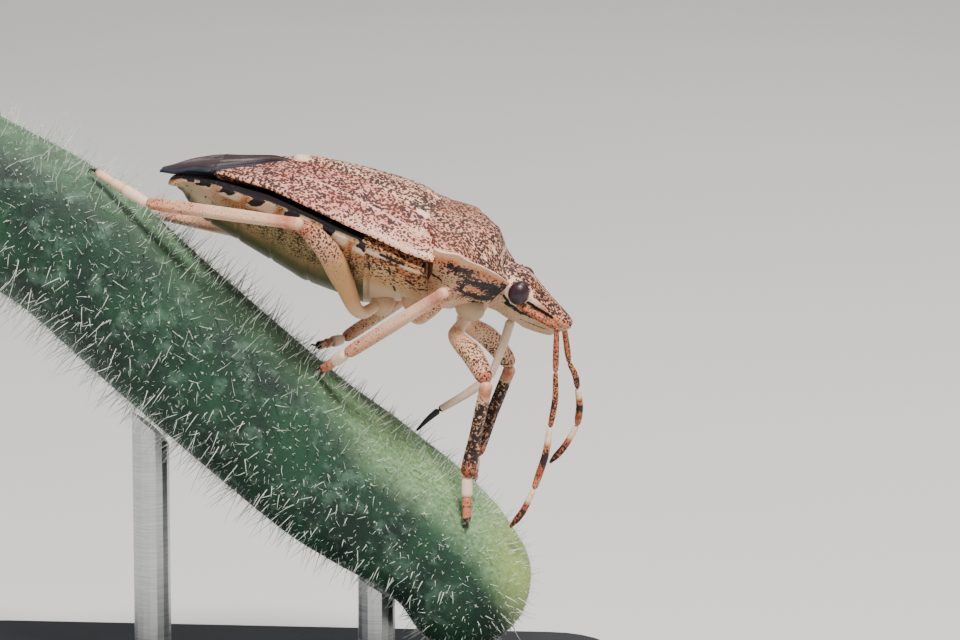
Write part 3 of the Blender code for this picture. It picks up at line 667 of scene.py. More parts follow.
def shield_lower(t, s):
    base, f, w, l = shield_place(t, s)
    e = collar_edge(base)
    x = abs(l / w)
    deep = (1 - x ** 1.8) ** 0.75
    f += COLLAR_SUTURE * deep * (1 - t) ** 2
    fold = 0.05 * hump(f - 1.35 - 0.3 * deep, 0.07) * deep
    return (f, l * (1 - 0.1 * math.sin(math.pi * x)), e + (belly(f) - e) * deep + fold)


# The stroke from (1.0, -0.36) to (1.6, -0.45) is a painted shadow under the shoulder of the shield; the other
# strokes are the bug's own black bars and dashes.
SHIELD_BARS_AND_SHADOW = ((1.7, -0.88, 2.3, -0.96, 0.13), (2.3, -0.98, 3.05, -1.02, 0.24),
               (1.85, -1.48, 2.3, -1.55, 0.12), (2.3, -1.55, 2.96, -1.42, 0.18),
               (2.62, -1.22, 3.1, -1.2, 0.3), (1.62, -1.0, 1.66, -1.36, 0.1),
               (1.0, -0.36, 1.6, -0.45, 0.13), (0.5, -0.95, 0.9, -1.05, 0.06), (1.4, -0.68, 2.1, -0.74, 0.05),
               (2.0, -1.8, 2.5, -1.78, 0.05))
SHIELD_SPOTS = ((2.0, 2.46, 2.04, 2.4, 0.07), (2.2, 1.54, 2.24, 1.46, 0.08), (2.34, 0.72, 2.36, 0.66, 0.06),
                (2.1, 2.0, 2.12, 1.95, 0.05))


def shield_pale(f, l, u, side):
    w = collar_half(max(f, 0.55))
    edge = smooth((abs(l) / w - 0.962) / 0.025)
    spots = stroke(f, abs(l), SHIELD_SPOTS) if side > 0 else 0.0
    collar = 0.6 * hump(f - 2.98 + 0.44 * (1 - (l / 1.68) ** 4), 0.05) if side > 0 and abs(l) < 1.6 else 0.0
    if side < 0:
        return max(edge * 0.3, 0.25 * smooth((-1.7 - u) / 0.3))
    return max(edge, spots, collar)


def shield_warm(f, l, u, side):
    w = collar_half(max(f, 0.55))
    x = abs(l) / w
    if side > 0:
        return 0.65 * hump(x - 0.985, 0.025)
    streak = 0.8 * stroke(f, u, ((1.9, -1.18, 2.5, -1.28, 0.1),))
    return max(0.95 * smooth((x - 0.88) / 0.08), 0.5 * hump(u + 0.6, 0.2) * smooth((f - 1.2) / 0.4), streak)


def shield_ink_and_shade(f, l, u, side):
    if side < 0:
        return 0.7 * stroke(f, u, SHIELD_BARS_AND_SHADOW)
    corner = 0.45 * stroke(f, abs(l), ((1.2, 3.86, 1.35, 3.7, 0.14),))
    cloud = 0.36 * stroke(f, abs(l), ((2.2, 2.25, 2.65, 1.75, 0.2), (2.55, 1.4, 2.7, 0.9, 0.16)))
    return max(corner, cloud)


def shield_dark(f, l, u, side):
    if side < 0:
        cloud = stroke(f, u, ((1.8, -1.2, 3.0, -1.2, 0.42), (1.0, -0.45, 1.7, -0.55, 0.25)))
        return cloud * (1 - stroke(f, u, ((1.9, -1.18, 2.5, -1.28, 0.11),)))
    front = 0.6 * smooth((f - 1.5) / 0.9)
    hind = 0.25 * stroke(f, abs(l), ((0.5, 0.1, 1.8, 0.6, 0.06), (0.3, 1.9, 0.9, 2.3, 0.25)))
    return max(front, hind)


shield_paint = {"pale": shield_pale, "warm": shield_warm, "ink": shield_ink_and_shade, "dark": shield_dark,
                "tan": lambda f, l, u, side: 0.8 * (1 - shield_dark(f, l, u, side)) if side < 0 else 0.0}
shield_parts = [plate_data(shield_upper, shield_lower, 100, 150, shield_paint, False)]
for side in (-1, 1):
    shield_parts.append(ball_data((2.16, side * 1.0, -2.14), (0.52, 0.46, 0.44), {"tan": lambda *a: 1.0,
                                                                           "pale": lambda *a: 0.25}))
verts, faces, masks = join_data(shield_parts)
shield = add_piece("bug_shield", verts, faces, shell_finishes["shield"], masks)
settle(shield, "prothorax_shell", "prothorax")
print("shield width, mm:", round(2 * collar_half(0.85), 2))

# %% [markdown]
# ## The flank between the legs
# Behind the first plate the side of the body is made of smaller plates that meet in furrows,
# with the sockets of the middle and hind legs below. One closed skin carries the furrows as
# dents in its surface, so that no slit opens between the plates.

# %% The flank


def flank_place(t, s):
    f = mix(-2.05, 0.22, t)
    return f, rim_half(f), rim_half(f) * math.sin(s * math.pi / 2)


def flank_upper(t, s):
    f, w, l = flank_place(t, s)
    under = back(f, l) - wing_thick(f, l) - 0.1
    return (f, l, mix(under, rim_height(f), smooth((abs(l / w) - 0.85) / 0.15)))


def flank_lower(t, s):
    f, w, l = flank_place(t, s)
    e = rim_height(f)
    x = abs(l / w)
    deep = (1 - x ** 1.75) ** 0.82
    f += deep * mix(HIND_SUTURE, COLLAR_SUTURE, t)
    seam = 0.06 * hump(t - 0.52 - 0.12 * x, 0.035) + 0.05 * hump(t - 0.93, 0.03) + 0.05 * hump(t - 0.1, 0.035)
    gland = -0.05 * hump(math.hypot((f + 0.15) / 0.3, (e - 1.15 - (e + (belly(f) - e) * deep)) / 0.25), 1.0)
    inward = seam * deep + gland
    return (f, l * (1 - 0.1 * math.sin(math.pi * x) - 0.02 * seam / 0.06), e + (belly(f) - e) * deep + inward)


# The first stroke, from (0.2, -0.66) to (0.9, -0.7), is a painted shadow just below the plate margin; the
# others are the bug's own dark marks.
FLANK_MARKS_AND_SHADOW = ((0.2, -0.66, 0.9, -0.7, 0.09), (-1.3, -0.8, -0.5, -0.86, 0.06),
               (0.64, -1.62, 0.95, -1.85, 0.045), (0.3, -1.75, 0.62, -1.62, 0.045),
               (-0.2, -1.5, 0.05, -1.62, 0.05), (-0.9, -1.2, -0.8, -1.45, 0.04),
               (-1.6, -1.3, -1.5, -1.6, 0.035), (-0.55, -2.0, -0.45, -2.2, 0.04))


def flank_pale(f, l, u, side):
    return max(0.5 * smooth((-2.0 - u) / 0.4), 0.9 * stroke(f, u, ((-1.75, -0.85, -1.2, -0.84, 0.1),
                                                                 (-0.5, -0.95, 0.1, -0.95, 0.06))))


def flank_warm(f, l, u, side):
    return max(0.75 * stroke(f, u, ((-0.6, -1.15, 0.0, -1.3, 0.2), (-2.0, -1.0, -1.0, -1.05, 0.1))),
               0.5 * smooth((u + 1.2) / 0.4))


flank_paint = {"pale": flank_pale, "warm": flank_warm, "ink": lambda f, l, u, side: stroke(f, u, FLANK_MARKS_AND_SHADOW),
               "dark": lambda f, l, u, side: 0.8 * smooth((u + 2.0) / 0.8),
               "tan": lambda f, l, u, side: smooth((-1.8 - u) / 0.6)}
flank_parts = [plate_data(flank_upper, flank_lower, 80, 150, flank_paint, False)]


def socket_ring(f, l, u, side):
    return 0.75 * hump(u + 2.32, 0.05) * smooth((f - 0.1) / 0.2)


for side in (-1, 1):
    for f, u in ((0.25, -2.46), (-0.72, -2.98)):
        flank_parts.append(ball_data((f, side * 1.3, u), (0.42, 0.5, 0.48), {"pale": lambda *a: 0.3,
                                                                          "tan": lambda *a: 0.8,
                                                                          "ink": socket_ring}))
verts, faces, masks = join_data(flank_parts)
flank = add_piece("bug_flank", verts, faces, shell_finishes["side"], masks)
settle(flank, "thorax_shell", "thorax")
print("flank faces:", len(flank.data.polygons))

# %% [markdown]
# ## The abdomen
# Its belly is a keel of overlapping rings, tan to olive, with a dark breathing pore on each
# ring. The thin rim that shows past the wings is barred cream and black, with orange wedges
# below it, which is the mark of this bug.

# %% The abdomen
RINGS = (-2.3, -3.62, -4.95, -6.2, -7.3, -8.15, -8.8)


def abdomen_place(t, s):
    f = mix(-9.1, -1.92, t ** 1.25)
    return f, rim_half(f), rim_half(f) * math.sin(s * math.pi / 2)


def rim_level(f):
    return min(rim_height(f), back_edge(f) - 0.42)


def ring_furrow(f, width):
    return max(hump(f - r, width) for r in RINGS)


def abdomen_upper(t, s):
    f, w, l = abdomen_place(t, s)
    under = back(f, l) - wing_thick(f, l) - 0.2
    return (f, l, mix(under, rim_level(f), smooth((abs(l / w) - 0.9) / 0.1)))


def abdomen_lower(t, s):
    f, w, l = abdomen_place(t, s)
    e = rim_level(f)
    x = abs(l / w)
    deep = (1 - x ** 1.75) ** 0.85
    roof = back(f, l) - wing_thick(f, l) - 0.35
    g = f
    f += HIND_SUTURE * deep * t ** 4
    furrow = 0.045 * ring_furrow(g + 0.2 * x * x, 0.05) * deep
    keel = 1 - 0.02 * ring_furrow(g + 0.2 * x * x, 0.07)
    return (f, l * (1 - 0.05 * math.sin(math.pi * x)) * keel, min(e + (belly(f) - e) * deep + furrow, roof))


def ring_joint(f, lean, width=0.16):
    """1 at the joints between rings, with the joint drawn forward toward the edge."""
    return max(hump(f - r - lean, width) for r in RINGS)


def abdomen_pale(f, l, u, side):
    x = abs(l) / rim_half(f)
    outer = smooth((x - 0.9) / 0.04)
    joint = ring_joint(f, 2.2 * (x - 0.95) - 0.1)
    if side > 0:
        return 0.0
    return max(0.9 * outer * (1 - joint), 0.5 * smooth((-6.6 - f) / 1.2) * smooth((x - 0.45) / 0.3))


def abdomen_warm(f, l, u, side):
    x = abs(l) / rim_half(f)
    tip = 0.9 * smooth((-8.45 - f) / 0.3)
    if side > 0:
        return tip
    wedge = ring_joint(f, 2.2 * (x - 0.95) - 0.1) * hump(x - 0.94, 0.07)
    return max(wedge, tip * smooth((x - 0.4) / 0.3), 0.6 * hump(x - 0.88, 0.04))


def abdomen_ink_and_shade(f, l, u, side):
    x = abs(l) / rim_half(f)
    hem = x - 0.93 - 0.014 * math.sin(9 * f + 2)
    outer = smooth(hem / 0.03) * smooth(2.0 * ring_joint(f, 0.3 + 3.0 * (x - 0.97), 0.3) - 0.5)
    # The upper side is painted black except at its very edge and tip, as painted shade where it shows in the
    # gap under the wing edge; the outer bars are the bug's own black marks.
    if side > 0:
        return max(smooth((0.985 - x) / 0.015) * smooth((f + 8.9) / 0.3), 0.8 * outer)
    pore = 0.0
    for a, b in zip(RINGS, RINGS[1:]):
        pore = max(pore, 1 - smooth((math.hypot(f - mix(a, b, 0.4), (x - 0.8) * 2.6) - 0.02) / 0.05))
    edge = 0.5 * max(hump(f - r + 0.03, 0.04) for r in RINGS) * smooth((x - 0.3) / 0.4)
    return max(0.8 * outer * smooth((f + 8.6) / 0.3), 0.9 * pore, edge)


def abdomen_dark(f, l, u, side):
    x = abs(l) / rim_half(f)
    if side > 0:
        return 0.0
    rows = 0.55 + 0.45 * math.cos((f + 0.2 * x) * 9.5)
    return smooth((x - 0.45) / 0.2) * smooth((0.92 - x) / 0.08) * smooth((f + 7.0) / 1.2) * rows


def abdomen_tan(f, l, u, side):
    x = abs(l) / rim_half(f)
    return smooth((0.72 - x) / 0.3) if side < 0 else 0.0


abdomen_paint = {"pale": abdomen_pale, "warm": abdomen_warm, "ink": abdomen_ink_and_shade, "dark": abdomen_dark,
                 "tan": abdomen_tan}
verts, faces, masks = plate_data(abdomen_upper, abdomen_lower, 170, 150, abdomen_paint, True)
abdomen = add_piece("bug_abdomen", verts, faces, shell_finishes["belly"], masks)
settle(abdomen, "abdomen_shell", "abdomen")
print("abdomen rings:", len(RINGS) - 1, "faces:", len(abdomen.data.polygons))

# %% [markdown]
# ## The scutellum
# The triangle between the wings stands a little proud of them. It has cream swellings at its
# base corners and a bare cream tip, and its pits gather in clouds between.

# %% The scutellum


def scutellum_place(t, s):
    f = mix(SCUTELLUM_TIP, -0.12, t)
    w = scutellum_half(f)
    return f, w, w * math.sin(s * math.pi / 2)


def scutellum_upper(t, s):
    f, w, l = scutellum_place(t, s)
    tip = rounding(f - SCUTELLUM_TIP, 0.12)
    return (f, l, back(f, l) + 0.12 * (1 - (l / w) ** 2) + 0.03 - rounding(w - abs(l), 0.13) - tip)


def scutellum_lower(t, s):
    f, w, l = scutellum_place(t, s)
    return (f, l, back(f, l) - PLATE * 0.7)


def scutellum_pale(f, l, u, side):
    corner = 1 - smooth((math.hypot((f + 0.5) / 0.3, (abs(l) - 1.93) / 0.16) - 0.7) / 0.4)
    middle = 1 - smooth((math.hypot((f + 0.3) / 0.12, l / 0.12) - 0.7) / 0.5)
    return max(0.9 * corner, 0.8 * middle, 0.74 * smooth((-4.7 - f) / 0.35),
               0.35 * hump(l, 0.06) * smooth((f + 4.0) / 1.0))


def scutellum_dark(f, l, u, side):
    a = abs(l)
    return stroke(f, a, ((-1.0, 2.0, -0.7, 1.55, 0.2), (-2.3, 0.9, -1.8, 0.7, 0.25),
                         (-3.9, 0.45, -4.4, 0.35, 0.16), (-0.6, 1.1, -0.5, 0.7, 0.2)))


scutellum_paint = {"pale": scutellum_pale, "dark": scutellum_dark,
                   "ink": lambda f, l, u, side: 0.4 * stroke(f, abs(l), ((-0.95, 1.75, -0.8, 1.9, 0.12),)),
                   "warm": lambda f, l, u, side: 0.85 * smooth((0.09 - scutellum_half(f) + abs(l)) / 0.05)}
verts, faces, masks = plate_data(scutellum_upper, scutellum_lower, 130, 90, scutellum_paint, True)
scutellum = add_piece("bug_scutellum", verts, faces, shell_finishes["scutellum"], masks)
settle(scutellum, "scutellum_shell", "scutellum")
print("scutellum length, mm:", round(-SCUTELLUM_TIP, 2))

# %% [markdown]
# ## The hard fore wings
# Each fore wing is leathery as far as an oblique line. A furrow beside the scutellum and two
# raised veins run along it, its outer edge is thick and pale, and dark clouds are scattered
# over the rose ground.

# %% The leathery half of the wings


def corium_inner(f):
    if f > SCUTELLUM_TIP:
        return scutellum_half(f) - 0.06
    t = (SCUTELLUM_TIP - f) / (SCUTELLUM_TIP - CORIUM_CORNER)
    return mix(scutellum_half(SCUTELLUM_TIP) - 0.06, wing_half(CORIUM_CORNER) - 0.16, t ** 1.1)


def claval_line(f):
    """Half width of the furrow that runs beside the scutellum."""
    return scutellum_half(f) + mix(0.16, 0.62, smooth((f + 5.4) / 4.2))


def main_vein(f):
    return mix(2.2, 3.1, smooth((f + 6.2) / 6.0))


def corium_place(t, s):
    base = mix(CORIUM_CORNER, -0.14, t)
    s = (s + 1) / 2
    l = mix(corium_inner(base), wing_half(base), math.sin(s * math.pi / 2) * 0.6 + 0.4 * smooth(s))
    return base, base + 0.56 * smooth((l - SCUTELLUM_HALF_BASE) / 1.5) * t ** 6, l


def corium_relief(f, l):
    if f < SCUTELLUM_TIP:
        return 0.0
    line = -0.07 * hump(l - claval_line(f), 0.045) + 0.03 * hump(l - claval_line(f) - 0.1, 0.05)
    vein = 0.03 * hump(l - main_vein(f), 0.06) * smooth((f + 5.8) / 0.8)
    return line + vein


def corium_sag(side, f, l):
    """How far the far wing lies below the even curve of the back, inside its solid."""
    if side < 0:
        return 0.0
    return mix(0.13, 0.3, smooth((-4.7 - f) / 0.8)) * hump(l - 2.4, 1.35) * smooth((l - 0.2) / 0.9)


def corium_upper(side):
    def at(t, s):
        base, f, l = corium_place(t, s)
        d = wing_half(base) - l
        bead = 0.02 * hump(d - 0.1, 0.08) * smooth((base + 4.0) / 2.0)
        thin = 0.085 * (1 - smooth((l - corium_inner(base)) / 0.4))
        thin *= smooth((SCUTELLUM_TIP + 0.4 - base) / 0.4)
        return (f, side * l, back(f, l) + corium_relief(f, l) + bead - thin - rounding(d, 0.07)
                - rounding(base - CORIUM_CORNER, 0.08) - corium_sag(side, f, l))
    return at


def corium_lower(side):
    def at(t, s):
        base, f, l = corium_place(t, s)
        return (f, side * l, back(f, l) - wing_thick(f, l) + 0.05 * (1 - smooth((wing_half(base) - l) / 0.1))
                - 0.5 * corium_sag(side, f, l))
    return at


CORIUM_CLOUDS = ((-2.26, 2.95, -2.0, 2.8, 0.16), (-1.31, 3.17, -1.2, 3.05, 0.14),
                 (-1.57, 3.75, -1.4, 3.8, 0.1), (-1.04, 2.35, -0.8, 2.5, 0.12), (-3.72, 2.14, -3.5, 2.0, 0.2),
                 (-4.41, 1.5, -4.2, 1.3, 0.16), (-3.0, 2.5, -2.7, 2.3, 0.2), (-5.0, 2.7, -4.7, 2.6, 0.18),
                 (-5.9, 2.6, -5.7, 2.3, 0.14), (-4.0, 3.4, -3.8, 3.35, 0.12), (-2.9, 3.6, -2.7, 3.65, 0.1),
                 (-0.9, 3.75, -0.75, 3.7, 0.1))


def corium_pale(f, l, u, side):
    a = abs(l)
    d = wing_half(f) - a
    width = mix(0.02, 0.13, smooth((f + 4.6) / 4.0))
    costa = (0.6 if side > 0 else 0.1) * mix(0.3, 1.0, smooth((f + 4.6) / 4.0))
    costa *= 1 - smooth((d - width * 0.6) / (width * 0.7))
    vein = 0.5 * hump(a - main_vein(f), 0.07) * smooth((f + 5.5) / 1.0)
    shoulder = 0.45 * stroke(f, a, ((-0.6, 3.2, -0.3, 3.0, 0.3),))
    outer = 0.22 * smooth((0.95 - d) / 0.6) * smooth((f + 5.0) / 3.0)
    return max(costa, vein, shoulder, outer)


def corium_warm(f, l, u, side):
    a = abs(l)
    line = 0.9 * hump(a - claval_line(f) - 0.05, 0.08) if f > SCUTELLUM_TIP else 0.0
    shoulder = 0.5 * stroke(f, a, ((-0.5, 3.3, -0.2, 3.4, 0.25),))
    below = 0.8 if side < 0 and wing_half(f) - a < 0.3 else 0.0
    return max(line, shoulder, below)


def corium_dark(f, l, u, side):
    return max(stroke(f, abs(l), CORIUM_CLOUDS), 0.2 * smooth((-4.5 - f) / 1.5))


def corium_ink(f, l, u, side):
    a = abs(l)
    return 0.6 * hump(a - claval_line(f), 0.03) * smooth((f + 5.3) / 0.3) + (
        0.34 * stroke(f, a, ((-2.2, 2.9, -2.05, 2.85, 0.12), (-3.65, 2.1, -3.55, 2.05, 0.12))))


corium_paint = {"pale": corium_pale, "warm": corium_warm, "dark": corium_dark, "ink": corium_ink}
for side, label in ((-1, "right"), (1, "left")):
    verts, faces, masks = plate_data(corium_upper(side), corium_lower(side), 170, 100, corium_paint, True)
    piece = add_piece("bug_corium_" + label, verts, faces, shell_finishes["corium"], masks)
    settle(piece, "corium_shell", "corium_" + label)
print("corium faces:", len(piece.data.polygons), "each side")

# %% [markdown]
# ## The wing membrane
# The rear of the wings is a smoky, glassy skin that is stiffened by long veins. The veins are
# ridges of the same surface, where the solids have them, and are stained brown.

# %% The membrane
membrane_finish, membrane_shader, spot = new_finish("wing_membrane", 0.4, 0.1, 0.3)
vein_mask = painted(spot, "warm")
wrinkle = spot.noise(5.0, 3.0, 0.6, 0.6)
cloudy = spot.noise(1.3, 3.0)
tone = cloudy.rise(0.3, 0.7).blend(srgb(26, 28, 40), srgb(46, 46, 58))
tone = (vein_mask * 0.8).blend(tone, srgb(74, 52, 44))
feed(membrane_finish, membrane_shader, tone, 0.4 + wrinkle * 0.25, wrinkle + vein_mask * 0.4, 0.4, 0.00004)
VEINS = [-0.75 + 0.25 * k for k in range(7)]


def membrane_half(f):
    if f > CORIUM_CORNER - 0.15:
        return max(corium_inner(f) - 0.04, 0.12)
    return mix(wing_half(f), corium_inner(CORIUM_CORNER) - 0.04, smooth((f - CORIUM_CORNER + 0.75) / 0.6))


def membrane_place(t, s):
    f = mix(MEMBRANE_TIP, SCUTELLUM_TIP - 0.05, t)
    return f, membrane_half(f), membrane_half(f) * s


def membrane_vein(s):
    return max(hump(s - v, 0.022) for v in VEINS)


def membrane_upper(t, s):
    f, w, l = membrane_place(t, s)
    fade = smooth(t * 6) * smooth((1 - t) * 6)
    ripple = 0.02 * math.sin(9 * s + 2 * f)
    return (f, l, back(f, l) - 0.07 + (0.07 * membrane_vein(s) + ripple) * fade - rounding(w - abs(l), 0.06)
            - rounding(f - MEMBRANE_TIP, 0.08))


def membrane_lower(t, s):
    f, w, l = membrane_place(t, s)
    return (f, l, back(f, l) - wing_thick(f, l) * 0.8)


membrane_paint = {"warm": lambda f, l, u, side: membrane_vein(l / membrane_half(f)) if side > 0 else 0.0}
verts, faces, masks = plate_data(membrane_upper, membrane_lower, 90, 220, membrane_paint, True)
membrane = add_piece("bug_membrane", verts, faces, membrane_finish, masks)
settle(membrane, "wing_membrane", "membrane")
print("membrane veins:", len(VEINS))

# %% [markdown]
# ## Legs
# A leg is a thigh, a shin and a foot of three joints with two claws. Each part is a tube along a
# smooth path, thicker where the muscle is, and they run into each other at the joints, so that
# the leg reads as one. The speckles thicken toward the knee and the joints are flushed red.

# %% Tubes along a path


def tube_data(points, radii, masks=None, sides=18, rings=34, flat=1.0, ridges=0.0):
    """A closed tube. radii and masks are functions of the way along it, from 0 to 1."""
    n = len(points)
    runs = [0.0]
    for a, b in zip(points, points[1:]):
        runs.append(runs[-1] + math.dist(a, b))
    axes = [through(*[(runs[i], points[i][k]) for i in range(n)]) for k in range(3)]
    total = runs[-1]
    verts = []
    values = {key: [] for key in MASKS}
    side = None
    for i in range(rings + 1):
        v = 0.5 - 0.5 * math.cos(math.pi * i / rings)
        d = v * total
        here = Vector([a(d) for a in axes])
        along = (Vector([a(min(d + 0.05, total)) for a in axes])
                 - Vector([a(max(d - 0.05, 0.0)) for a in axes])).normalized()
        if side is None:
            side = along.cross(Vector((0, 1, 0))).normalized()
        side = (side - along * side.dot(along)).normalized()
        up = along.cross(side)
        full = radii(v)
        cap = min(d, total - d) / full
        r = full * (math.sqrt(max(1 - (1 - min(cap, 1.0)) ** 2, 0.0)) if cap < 1 else 1.0)
        r = max(r, 0.004)
        for j in range(sides):
            a = 2 * math.pi * j / sides
            k = r * (1 + ridges * (math.cos(4 * a + 0.8) - 1) * min(cap, 1.0))
            verts.append(tuple(here + side * (k * math.cos(a)) + up * (k * flat * math.sin(a))))
            for key in MASKS:
                values[key].append(min(max(masks[key](v), 0.0), 1.0) if masks and key in masks else 0.0)
    faces = []
    for i in range(rings):
        for j in range(sides):
            k = (j + 1) % sides
            faces.append((i * sides + j, i * sides + k, (i + 1) * sides + k, (i + 1) * sides + j))
    faces.append(tuple(range(sides)))
    faces.append(tuple(rings * sides + j for j in range(sides)))
    return verts, faces, values


leg_finish = shell_finish("leg_shell", srgb(216, 166, 130), srgb(202, 134, 102), srgb(92, 46, 30),
                          srgb(40, 24, 20), cell=0.085, cover=0.24, cloud=0.24, rough=0.42, relief=0.35,
                          warm=srgb(166, 66, 34), pale=srgb(238, 212, 190), ink=srgb(38, 23, 18),
                          tan=srgb(188, 144, 94), crowd=0.24)
LEGS = {
    "front_right": ((2.0, -1.3, -3.06), (3.6, -3.5, -3.74), (4.13, -2.6, -7.34), (4.68, -2.75, -8.8)),
    "middle_right": ((0.5, -1.9, -2.86), (1.25, -4.6, -1.02), (-1.24, -3.0, -4.74), (-1.87, -2.05, -5.82)),
    "rear_right": ((-1.25, -2.2, -3.36), (-4.09, -4.9, -0.6), (-9.44, -2.5, -2.4), (-11.5, -1.78, -2.18)),
    "front_left": ((2.06, 1.3, -3.06), (4.22, 3.3, -4.5), (4.16, 2.2, -7.8), (4.44, 2.95, -8.8)),
    "middle_left": ((0.5, 1.9, -2.86), (1.1, 4.6, -2.1), (-1.64, 2.8, -5.68), (-2.4, 1.8, -6.02)),
    "rear_left": ((-1.25, 2.2, -3.36), (-4.2, 5.5, -3.68), (-9.35, 3.1, -3.92), (-10.98, 2.6, -3.26)),
}
BOW = {"front": (0.0, 0.1, 0.12), "middle": (0.0, 0.3, -0.1), "rear": (0.0, 0.25, 0.0)}
THIGH_PRESSED = ((-2.2, -3.1, -2.35), (-3.05, -4.15, -1.3))
HIP = {"front": (2.2, 1.0, -2.4), "middle": (0.25, 1.4, -2.5), "rear": (-0.85, 1.6, -3.05)}
FEMUR_DARK = {"front": 1.0, "middle": 0.6, "rear": 1.3}
TIBIA_DARK = {"front": 1.0, "middle": 0.35, "rear": 0.35}
print("legs:", ", ".join(LEGS))

# %% The legs


def lerp(a, b, t):
    return tuple(mix(x, y, t) for x, y in zip(a, b))


def claw_data(foot, ahead, out):
    """Two small hooks."""
    parts = []
    across = ahead.cross(out).normalized()
    for k in (-1, 1):
        tip = foot + ahead * 0.26 + across * (0.12 * k) - out * 0.16
        mid = foot + ahead * 0.18 + across * (0.1 * k) + out * 0.02
        parts.append(tube_data((tuple(foot), tuple(mid), tuple(tip)), lambda v: mix(0.05, 0.012, v),
                               {"ink": lambda v: 1.0}, 8, 10))
    return parts


def make_leg(key):
    hip, knee, ankle, foot = LEGS[key]
    pair, label = key.split("_")
    out = -1 if label == "right" else 1
    bow = BOW[pair]
    mid = tuple((a + b) / 2 + c for a, b, c in zip(hip, knee, (bow[0], bow[1] * out, bow[2])))
    root = (HIP[pair][0], HIP[pair][1] * out, HIP[pair][2])
    thick = {"front": 0.37, "middle": 0.32, "rear": 0.41}[pair]
    thigh = through((0, 0.18), (0.16, 0.23), (0.62, thick), (0.86, thick * 0.88), (1.0, 0.24))
    end = 0.27 if pair == "front" else 0.23
    shin = through((0, 0.24), (0.12, 0.22), (0.5, 0.22 if pair == "front" else 0.24), (0.9, end),
                   (1.0, end * 0.85))
    femur = {"dark": lambda v: FEMUR_DARK[pair] * smooth((v - 0.3) / 0.3),
             "tan": lambda v: 0.9 * (pair == "rear") * smooth((0.8 - v) / 0.2),
             "warm": lambda v: 0.75 * smooth((v - 0.88) / 0.1),
             "pale": lambda v: 0.6 * smooth((0.34 - v) / 0.2)}
    mottle = 1.0 if pair == "front" else 0.0
    tibia = {"dark": lambda v: max(TIBIA_DARK[pair] * smooth((v - 0.16) / 0.08), 0.0),
             "ink": lambda v: mottle * 0.56 * smooth((v - 0.16) / 0.05)
             * (1 - 0.45 * smooth((v - 0.8) / 0.12)),
             "warm": lambda v: max(0.8 * hump(v - 0.1, 0.06),
                                   (0.5 + 0.5 * mottle) * smooth((v - 0.78) / 0.16)),
             "pale": lambda v: (0.0 if pair == "front" else 0.3) * hump(v - 0.4, 0.3) + 0.15 * hump(v, 0.06)}
    path = (root, hip, *(THIGH_PRESSED if key == "rear_right" else (mid,)), knee)
    parts = [tube_data(path, thigh, femur, 24, 48),
             tube_data((knee, lerp(knee, ankle, 0.5), ankle), shin, tibia, 32, 44, 0.92, 0.07)]
    for a, b, r, pale, warm, dark in ((-0.03, 0.5, 0.2, 0.72, 0.2, 0.1), (0.42, 0.72, 0.172, 0.0, 0.62, 0.9),
                                      (0.6, 1.0, 0.155, 0.0, 0.7, 1.15)):
        if pair == "rear":
            pale, warm = max(pale, 0.5), warm * 0.35
        parts.append(tube_data((lerp(ankle, foot, a), lerp(ankle, foot, (a + b) / 2), lerp(ankle, foot, b)),
                               through((0, r * 0.86), (0.7, r), (1.0, r * 0.84)),
                               {"pale": lambda v, p=pale: p * (1 - smooth((v - 0.75) / 0.25)),
                                "warm": lambda v, w=warm: w + 0.3 * smooth((v - 0.8) / 0.2),
                                "ink": lambda v, e=dark: 0.45 * e * smooth((v - 0.3) / 0.5)
                                * (pair != "rear")}, 16,
                               20))
    ahead = (Vector(foot) - Vector(ankle)).normalized()
    away = Vector((0.35, 0, 0.94))
    away = (away - ahead * away.dot(ahead)).normalized()
    parts += claw_data(Vector(foot) - ahead * 0.05, ahead, away)
    verts, faces, masks = join_data(parts)
    leg = add_piece("bug_leg_" + key, verts, faces, leg_finish, masks)
    settle(leg, "femur", "femur_" + key, "tibia_" + key, "tarsus_" + key)
    return leg


for key in LEGS:
    leg = make_leg(key)
print("faces in one leg:", len(leg.data.polygons))

# %% [markdown]
# ## Feelers
# Each feeler has five joints. The first three are orange-brown with dots, and the last two are
# banded: pale at the root of the joint, nearly black in its middle, reddish at the end.

# %% The feelers
feeler_finish = shell_finish("antenna", srgb(186, 98, 54), srgb(158, 74, 40), srgb(56, 24, 18),
                             srgb(30, 18, 18), cell=0.075, cover=0.32, cloud=0.1, rough=0.42, relief=0.3,
                             warm=srgb(150, 56, 32), crowd=0.2, pale=srgb(236, 206, 172),
                             ink=srgb(46, 24, 24))
FEELERS = {
    "right": ((3.92, -1.14, -1.42), (5.17, -1.17, -1.62), (5.69, -1.2, -3.11), (6.2, -1.4, -4.95),
              (6.45, -1.5, -7.18), (6.16, -1.5, -8.77)),
    "left": ((3.92, 1.14, -1.42), (5.3, 1.2, -1.8), (6.05, 1.6, -3.27), (6.66, 2.0, -4.11),
             (7.13, 2.4, -5.46), (6.71, 2.6, -7.15)),
}
FEELER_WIDTH = (0.15, 0.11, 0.11, 0.13, 0.12)


def feeler_masks(joint):
    if joint < 2:
        return {"dark": lambda v: 0.6, "warm": lambda v: 0.35}
    if joint == 2:
        return {"dark": lambda v: 1.0, "warm": lambda v: 0.8 * smooth((v - 0.75) / 0.2),
                "ink": lambda v: 0.55 * hump(v - 0.6, 0.24)}
    if joint == 3:
        return {"pale": lambda v: smooth((0.3 - v) / 0.12), "ink": lambda v: 0.75 * hump(v - 0.5, 0.17),
                "warm": lambda v: 0.9 * hump(v - 0.72, 0.12), "dark": lambda v: 0.2}
    return {"pale": lambda v: smooth((0.36 - v) / 0.1), "ink": lambda v: 0.56 * smooth((v - 0.36) / 0.2),
            "warm": lambda v: 0.6 * smooth((v - 0.3) / 0.1), "dark": lambda v: 0.5}


